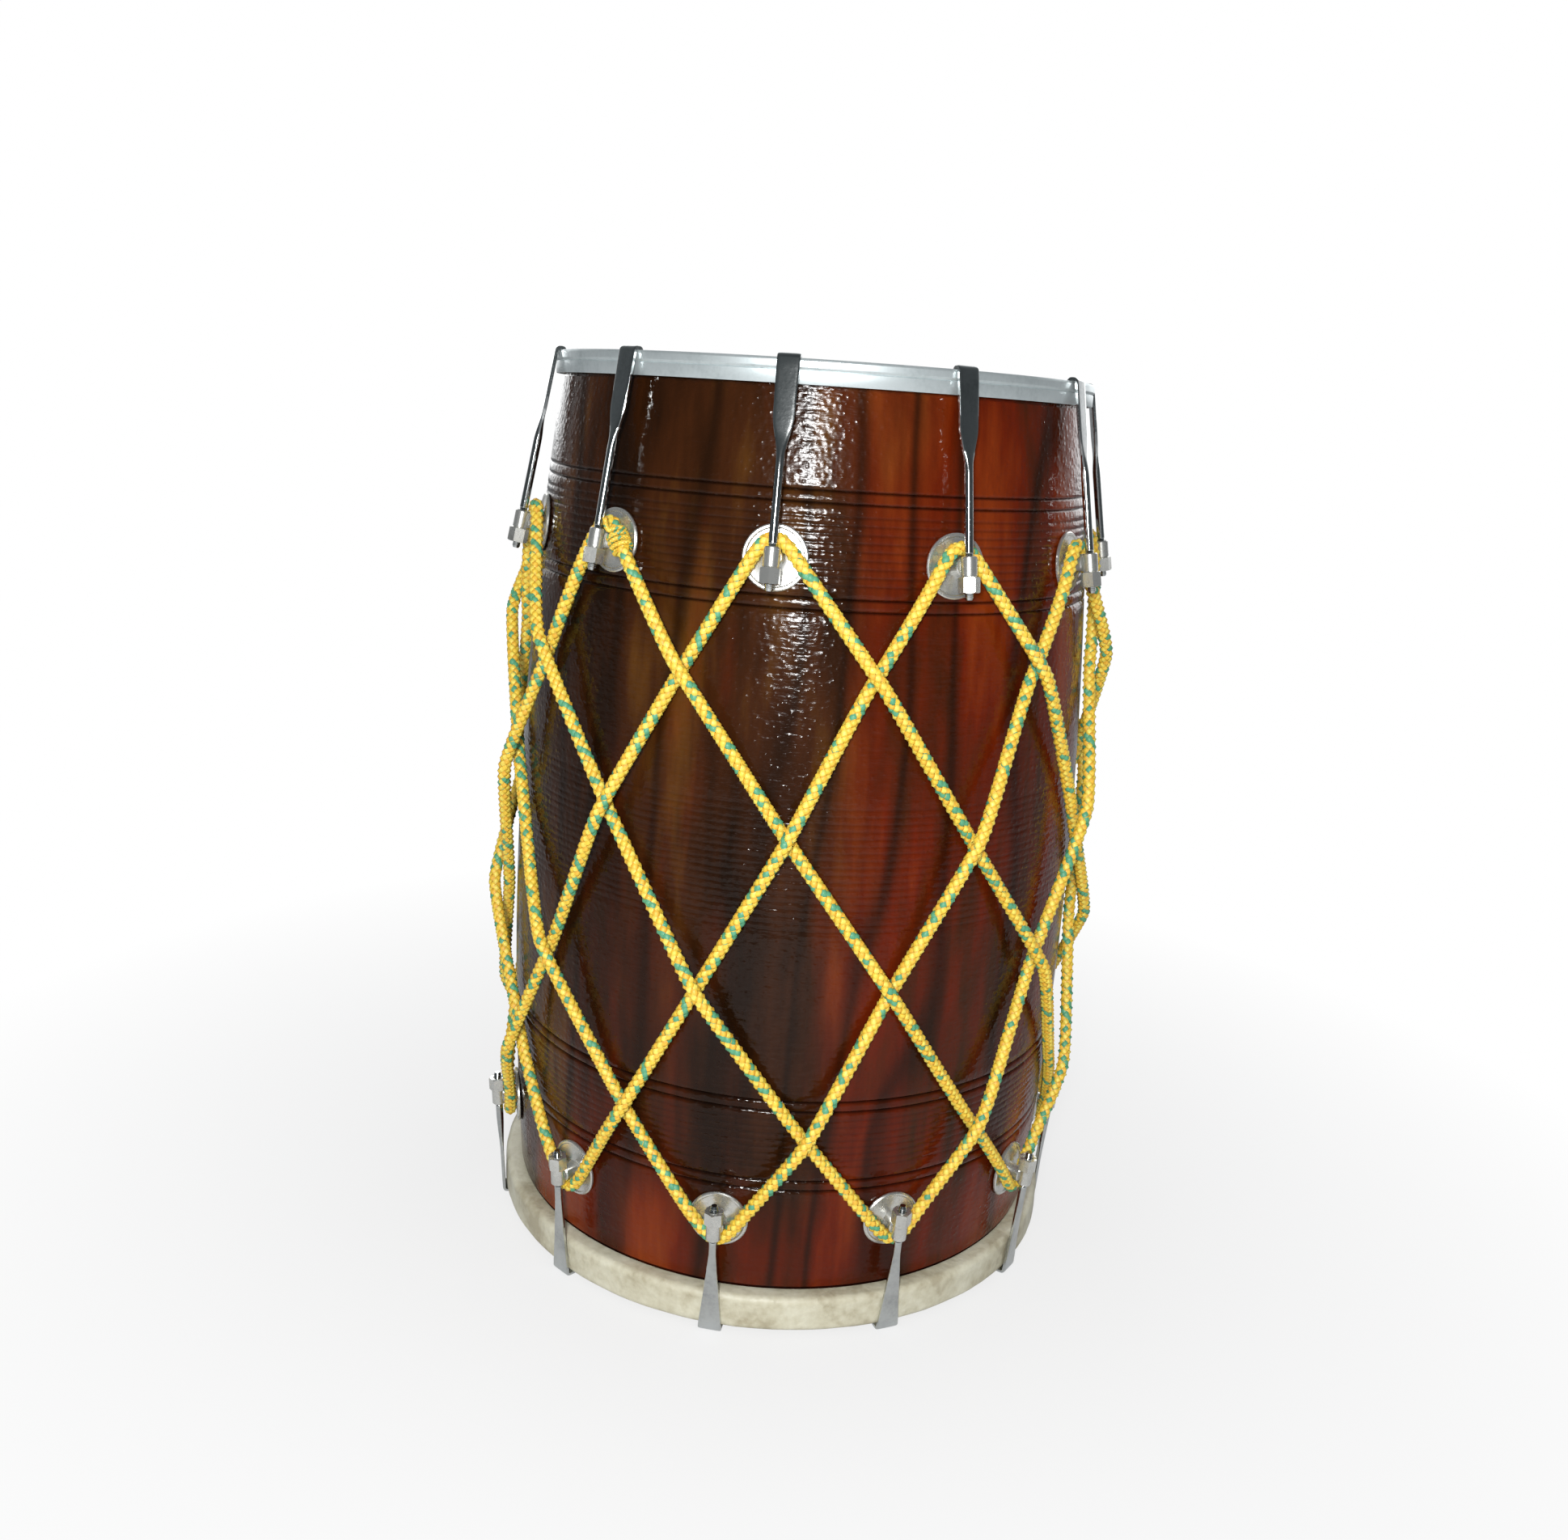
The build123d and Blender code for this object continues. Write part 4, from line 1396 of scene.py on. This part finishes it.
        counted = bench.put(
            "GeometryNodeStoreNamedAttribute",
            {"Geometry": kept.outputs["Geometry"], "Name": "knob", "Value": knobs},
            data_type="FLOAT",
            domain="POINT",
        )
        offset = bench.put("ShaderNodeVectorMath", {0: kept.outputs["Out"], "Scale": radius}, operation="SCALE")
        moved = bench.put(
            "GeometryNodeSetPosition", {"Geometry": counted.outputs["Geometry"], "Offset": offset.outputs[0]}
        )
        faced = bench.put(
            "GeometryNodeSetCurveNormal", {"Curve": moved.outputs[0], "Normal": kept.outputs["Out"]}, mode="FREE"
        )
        round_one = bench.put("GeometryNodeCurvePrimitiveCircle", {"Resolution": 5, "Radius": 1.0})
        flat = bench.put("ShaderNodeCombineXYZ", {"X": wish["Depth"], "Y": wish["Width"], "Z": 1.0})
        section = bench.put("GeometryNodeTransform", {"Geometry": round_one.outputs[0], "Scale": flat.outputs[0]})
        tube = bench.put(
            "GeometryNodeCurveToMesh",
            {"Curve": faced.outputs[0], "Profile Curve": section.outputs[0], "Fill Caps": True},
        )
        real = bench.put("GeometryNodeRealizeInstances", {0: tube.outputs[0]})
        dressed = bench.put("GeometryNodeSetMaterial", {"Geometry": real.outputs[0], "Material": wish["Finish"]})
        group.links.new(dressed.outputs[0], made.inputs["Geometry"])
        return group

    def strands(self, line: bpy.types.Mesh, group: bpy.types.NodeTree, hand: int, place: int, scale: float) -> bpy.types.Mesh:
        """Lays two opposite strands of the braid.

        Args:
            line: the rope's line.
            group: the strands' geometry group.
            hand: 1 or -1, the way that they wind.
            place: 0 or 1, which pair of that hand.
            scale: their size beside the rope's own.

        Returns:
            Their mesh, with its faces outwards and the attribute that counts knobs.
        """
        host = bpy.data.objects.new("strand_host", line.copy())
        bpy.context.scene.collection.objects.link(host)
        values = {
            "Sample": self.sample * scale * MM,
            "Pitch": self.braid_pitch * scale * MM,
            "Braid Radius": self.braid_radius * scale * MM,
            "Wave": self.braid_wave * scale * MM,
            "Phase": place * math.pi / 2 + (0.0 if hand > 0 else math.pi / 4),
            "Hand": float(hand),
            "Width": self.strand_width * scale * MM,
            "Depth": self.strand_depth * scale * MM,
        }
        mesh = evaluated(host, group, values)
        work = bmesh.new()
        work.from_mesh(mesh)
        bmesh.ops.recalc_face_normals(work, faces=work.faces)
        work.to_mesh(mesh)
        work.free()
        return mesh

    def core(self, line: bpy.types.Mesh) -> bpy.types.Mesh:
        """The rope's filling, a plain tube inside the braid."""
        curve = bpy.data.curves.new("rope_core_line", "CURVE")
        curve.dimensions = "3D"
        spline = curve.splines.new("POLY")
        places = [vertex.co.copy() for vertex in line.vertices][::3]
        spline.points.add(len(places) - 1)
        for point, place in zip(spline.points, places):
            point.co = (*place, 1.0)
        curve.bevel_depth = 2.5 * MM
        curve.bevel_resolution = 1
        curve.use_fill_caps = True
        host = bpy.data.objects.new("rope_core_line", curve)
        bpy.context.scene.collection.objects.link(host)
        graph = bpy.context.evaluated_depsgraph_get()
        mesh = bpy.data.meshes.new_from_object(host.evaluated_get(graph), depsgraph=graph)
        bpy.data.objects.remove(host)
        return mesh

    def tie_route(self, line: bpy.types.Mesh) -> list[Vector]:
        """The points of the thin cord that ties the rope's two ends: its turns, then its free end."""
        start, end = line.vertices[0].co.copy(), line.vertices[-1].co.copy()
        middle, way = (start + end) / 2, (start - end).normalized()
        out = Vector((middle.x, middle.y, 0)).normalized()
        out = (out - way * out.dot(way)).normalized()
        side = way.cross(out)
        corners = 12
        points = []
        for number in range(self.tie_turns * corners + 1):
            angle = 2 * math.pi * number / corners
            share = number / (self.tie_turns * corners) - 0.5
            spoke = out * math.cos(angle) + side * math.sin(angle)
            swell = self.tie_radius + 0.5 * math.cos(math.pi * share) + 0.25 * math.sin(3.0 * angle)
            points.append(middle + (spoke * swell - way * (share * self.tie_rise * self.tie_turns)) * MM)
        up = Vector((0, 0, 1))
        points.append(points[-1] + (out * 0.5 + up * 1.0 + side * 0.4) * 3.0 * MM)
        points.append(points[-1] + (up * 1.0 + out * 0.2) * 5.0 * MM)
        return points

    def build(self) -> None:
        """Builds the braid, its filling and the tie at its ends."""
        line = self.spline(self.route())
        tie = self.spline(self.tie_route(line))
        group = self.strand_tree()
        palette = self.palette
        colours = [
            ("lemon", palette.lemon, 1, 0),
            ("lemon_teal", palette.lemon_teal, 1, 1),
            ("gold", palette.gold, -1, 0),
            ("gold_teal", palette.gold_teal, -1, 1),
        ]
        for name, material, hand, place in colours:
            rope = self.strands(line, group, hand, place, 1.0)
            piece(f"rope_{name}", rope, material, "drum", ("rope",), sharp=80.0)
            thin = self.strands(tie, group, hand, place, self.tie_scale)
            piece(f"rope_tie_{name}", thin, material, "drum", (), sharp=80.0)
        piece("rope_core", self.core(line), palette.gold, "drum", (), sharp=80.0)


@dataclass
class Studio:
    """The floor, the light and the camera that matches the photograph."""

    camera_azimuth: float = 4.93
    camera_distance: float = 0.9567
    camera_height: float = 0.5707
    pitch: float = 0.2557
    yaw: float = -0.0104
    roll: float = 0.0657
    focal_pixels: float = 1688.19
    frame_width: int = 1939
    floor_white: float = 0.70
    floor_mirrored: float = 0.02
    room_light: float = 0.43

    def camera(self) -> None:
        """Places the camera by the fitted view."""
        data = bpy.data.cameras.new("camera")
        data.sensor_width = 36.0
        data.lens = 36.0 * self.focal_pixels / self.frame_width
        data.clip_start, data.clip_end = 0.01, 60.0
        camera = bpy.data.objects.new("camera", data)
        bpy.context.scene.collection.objects.link(camera)
        round_it = Matrix.Rotation(math.radians(self.camera_azimuth), 3, "Z")
        ahead = Vector(
            (
                math.sin(self.yaw) * math.cos(self.pitch),
                math.cos(self.yaw) * math.cos(self.pitch),
                -math.sin(self.pitch),
            )
        )
        right = ahead.cross(Vector((0, 0, 1))).normalized()
        up = right.cross(ahead)
        rolled_right = right * math.cos(self.roll) + up * math.sin(self.roll)
        rolled_up = up * math.cos(self.roll) - right * math.sin(self.roll)
        axes = Matrix((round_it @ rolled_right, round_it @ rolled_up, round_it @ -ahead)).transposed()
        place = axes.to_4x4()
        place.translation = round_it @ Vector((0, -self.camera_distance, self.camera_height))
        camera.matrix_world = place
        bpy.context.scene.camera = camera

    def floor(self) -> None:
        """A pale floor that keeps the drum's shadow, and turns plain white away from it."""
        mesh = bpy.data.meshes.new("floor")
        reach = 14.0
        corners = [(-reach, -reach, 0), (reach, -reach, 0), (reach, reach, 0), (-reach, reach, 0)]
        mesh.from_pydata(corners, [], [(0, 1, 2, 3)])
        floor = bpy.data.objects.new("floor", mesh)
        bpy.context.scene.collection.objects.link(floor)
        material = bpy.data.materials.new("pale_floor")
        material.use_nodes = True
        material.node_tree.nodes.clear()
        bench = NodeBench(material.node_tree)
        coordinates = bench.put("ShaderNodeTexCoord").outputs["Object"]
        away = bench.put("ShaderNodeVectorMath", {0: coordinates}, operation="LENGTH").outputs["Value"]
        white = bench.put("ShaderNodeMapRange", {0: away, 1: 0.20, 2: 0.75, 3: self.floor_white, 4: 1.0})
        lit = bench.put("ShaderNodeBsdfDiffuse", {"Color": (0.62, 0.62, 0.62, 1.0)})
        glow = bench.put("ShaderNodeEmission", {"Color": (1, 1, 1, 1), "Strength": 1.0})
        path = bench.put("ShaderNodeLightPath")
        direct = bench.math("MULTIPLY", path.outputs["Is Camera Ray"], white.outputs[0])
        mirrored = bench.math("MULTIPLY", path.outputs["Is Glossy Ray"], self.floor_mirrored)
        share = bench.math("MAXIMUM", direct, mirrored)
        both = bench.put("ShaderNodeMixShader", {0: share, 1: lit.outputs[0], 2: glow.outputs[0]})
        bench.put("ShaderNodeOutputMaterial", {"Surface": both.outputs[0]})
        mesh.materials.append(material)

    def lamp(self, name: str, place: tuple, aim: tuple, sides: Point, watts: float, tint: tuple = (1, 1, 1)) -> None:
        """Hangs one rectangular lamp.

        Args:
            name: its name.
            place: where it is, in metres.
            aim: the point that it faces.
            sides: its width and height.
            watts: its power.
            tint: its colour.
        """
        data = bpy.data.lights.new(name, "AREA")
        data.shape = "RECTANGLE"
        data.size, data.size_y = sides
        data.energy, data.color = watts, tint
        lamp = bpy.data.objects.new(name, data)
        lamp.location = place
        lamp.rotation_euler = (Vector(aim) - Vector(place)).to_track_quat("-Z", "Y").to_euler()
        bpy.context.scene.collection.objects.link(lamp)

    def world(self) -> None:
        """White to the camera; to gloss, a room that is dark in front and white behind the drum."""
        world = bpy.data.worlds.new("studio")
        bpy.context.scene.world = world
        world.use_nodes = True
        world.node_tree.nodes.clear()
        bench = NodeBench(world.node_tree)
        way = bench.put("ShaderNodeTexCoord").outputs["Generated"]
        apart = bench.put("ShaderNodeSeparateXYZ", {0: way})
        behind = bench.math("MULTIPLY_ADD", apart.outputs[1], 0.5, 0.5)
        room = bench.ramp(
            behind,
            [
                (0.00, (0.080, 0.092, 0.096)),
                (0.25, (0.055, 0.062, 0.066)),
                (0.50, (0.090, 0.100, 0.105)),
                (0.76, (0.180, 0.190, 0.195)),
                (0.85, (0.900, 0.910, 0.920)),
            ],
        )
        dim = bench.put("ShaderNodeBackground", {"Color": (0.90, 0.93, 0.96, 1.0), "Strength": self.room_light})
        gloss = bench.put("ShaderNodeBackground", {"Color": room, "Strength": 1.0})
        white = bench.put("ShaderNodeBackground", {"Color": (1, 1, 1, 1), "Strength": 1.0})
        path = bench.put("ShaderNodeLightPath")
        lit = bench.put("ShaderNodeMixShader", {0: path.outputs["Is Glossy Ray"], 1: dim.outputs[0], 2: gloss.outputs[0]})
        seen = bench.put("ShaderNodeMixShader", {0: path.outputs["Is Camera Ray"], 1: lit.outputs[0], 2: white.outputs[0]})
        bench.put("ShaderNodeOutputWorld", {"Surface": seen.outputs[0]})

    def build(self) -> None:
        """Builds the studio."""
        self.camera()
        self.floor()
        self.world()
        self.lamp("key", (0.03, -1.27, 0.72), (0.0, -0.15, 0.36), (0.14, 0.26), 17.0)
        for name, side in (("back_left", -1), ("back_right", 1)):
            self.lamp(name, (side * 0.9, 1.7, 1.1), (0.0, 0.1, 0.3), (1.2, 1.2), 6.0)
        bpy.context.scene.view_settings.view_transform = "Standard"


def main() -> None:
    """Builds the studio and every piece in order."""
    logging.basicConfig(level=logging.INFO, format="%(name)s %(message)s")
    Studio().build()
    palette = Palette()
    Shell(palette).build()
    Heads(palette).build()
    for head in Head:
        Hardware(head, palette).build()
    Lacing(palette).build()


if __name__ == "__main__":
    main()
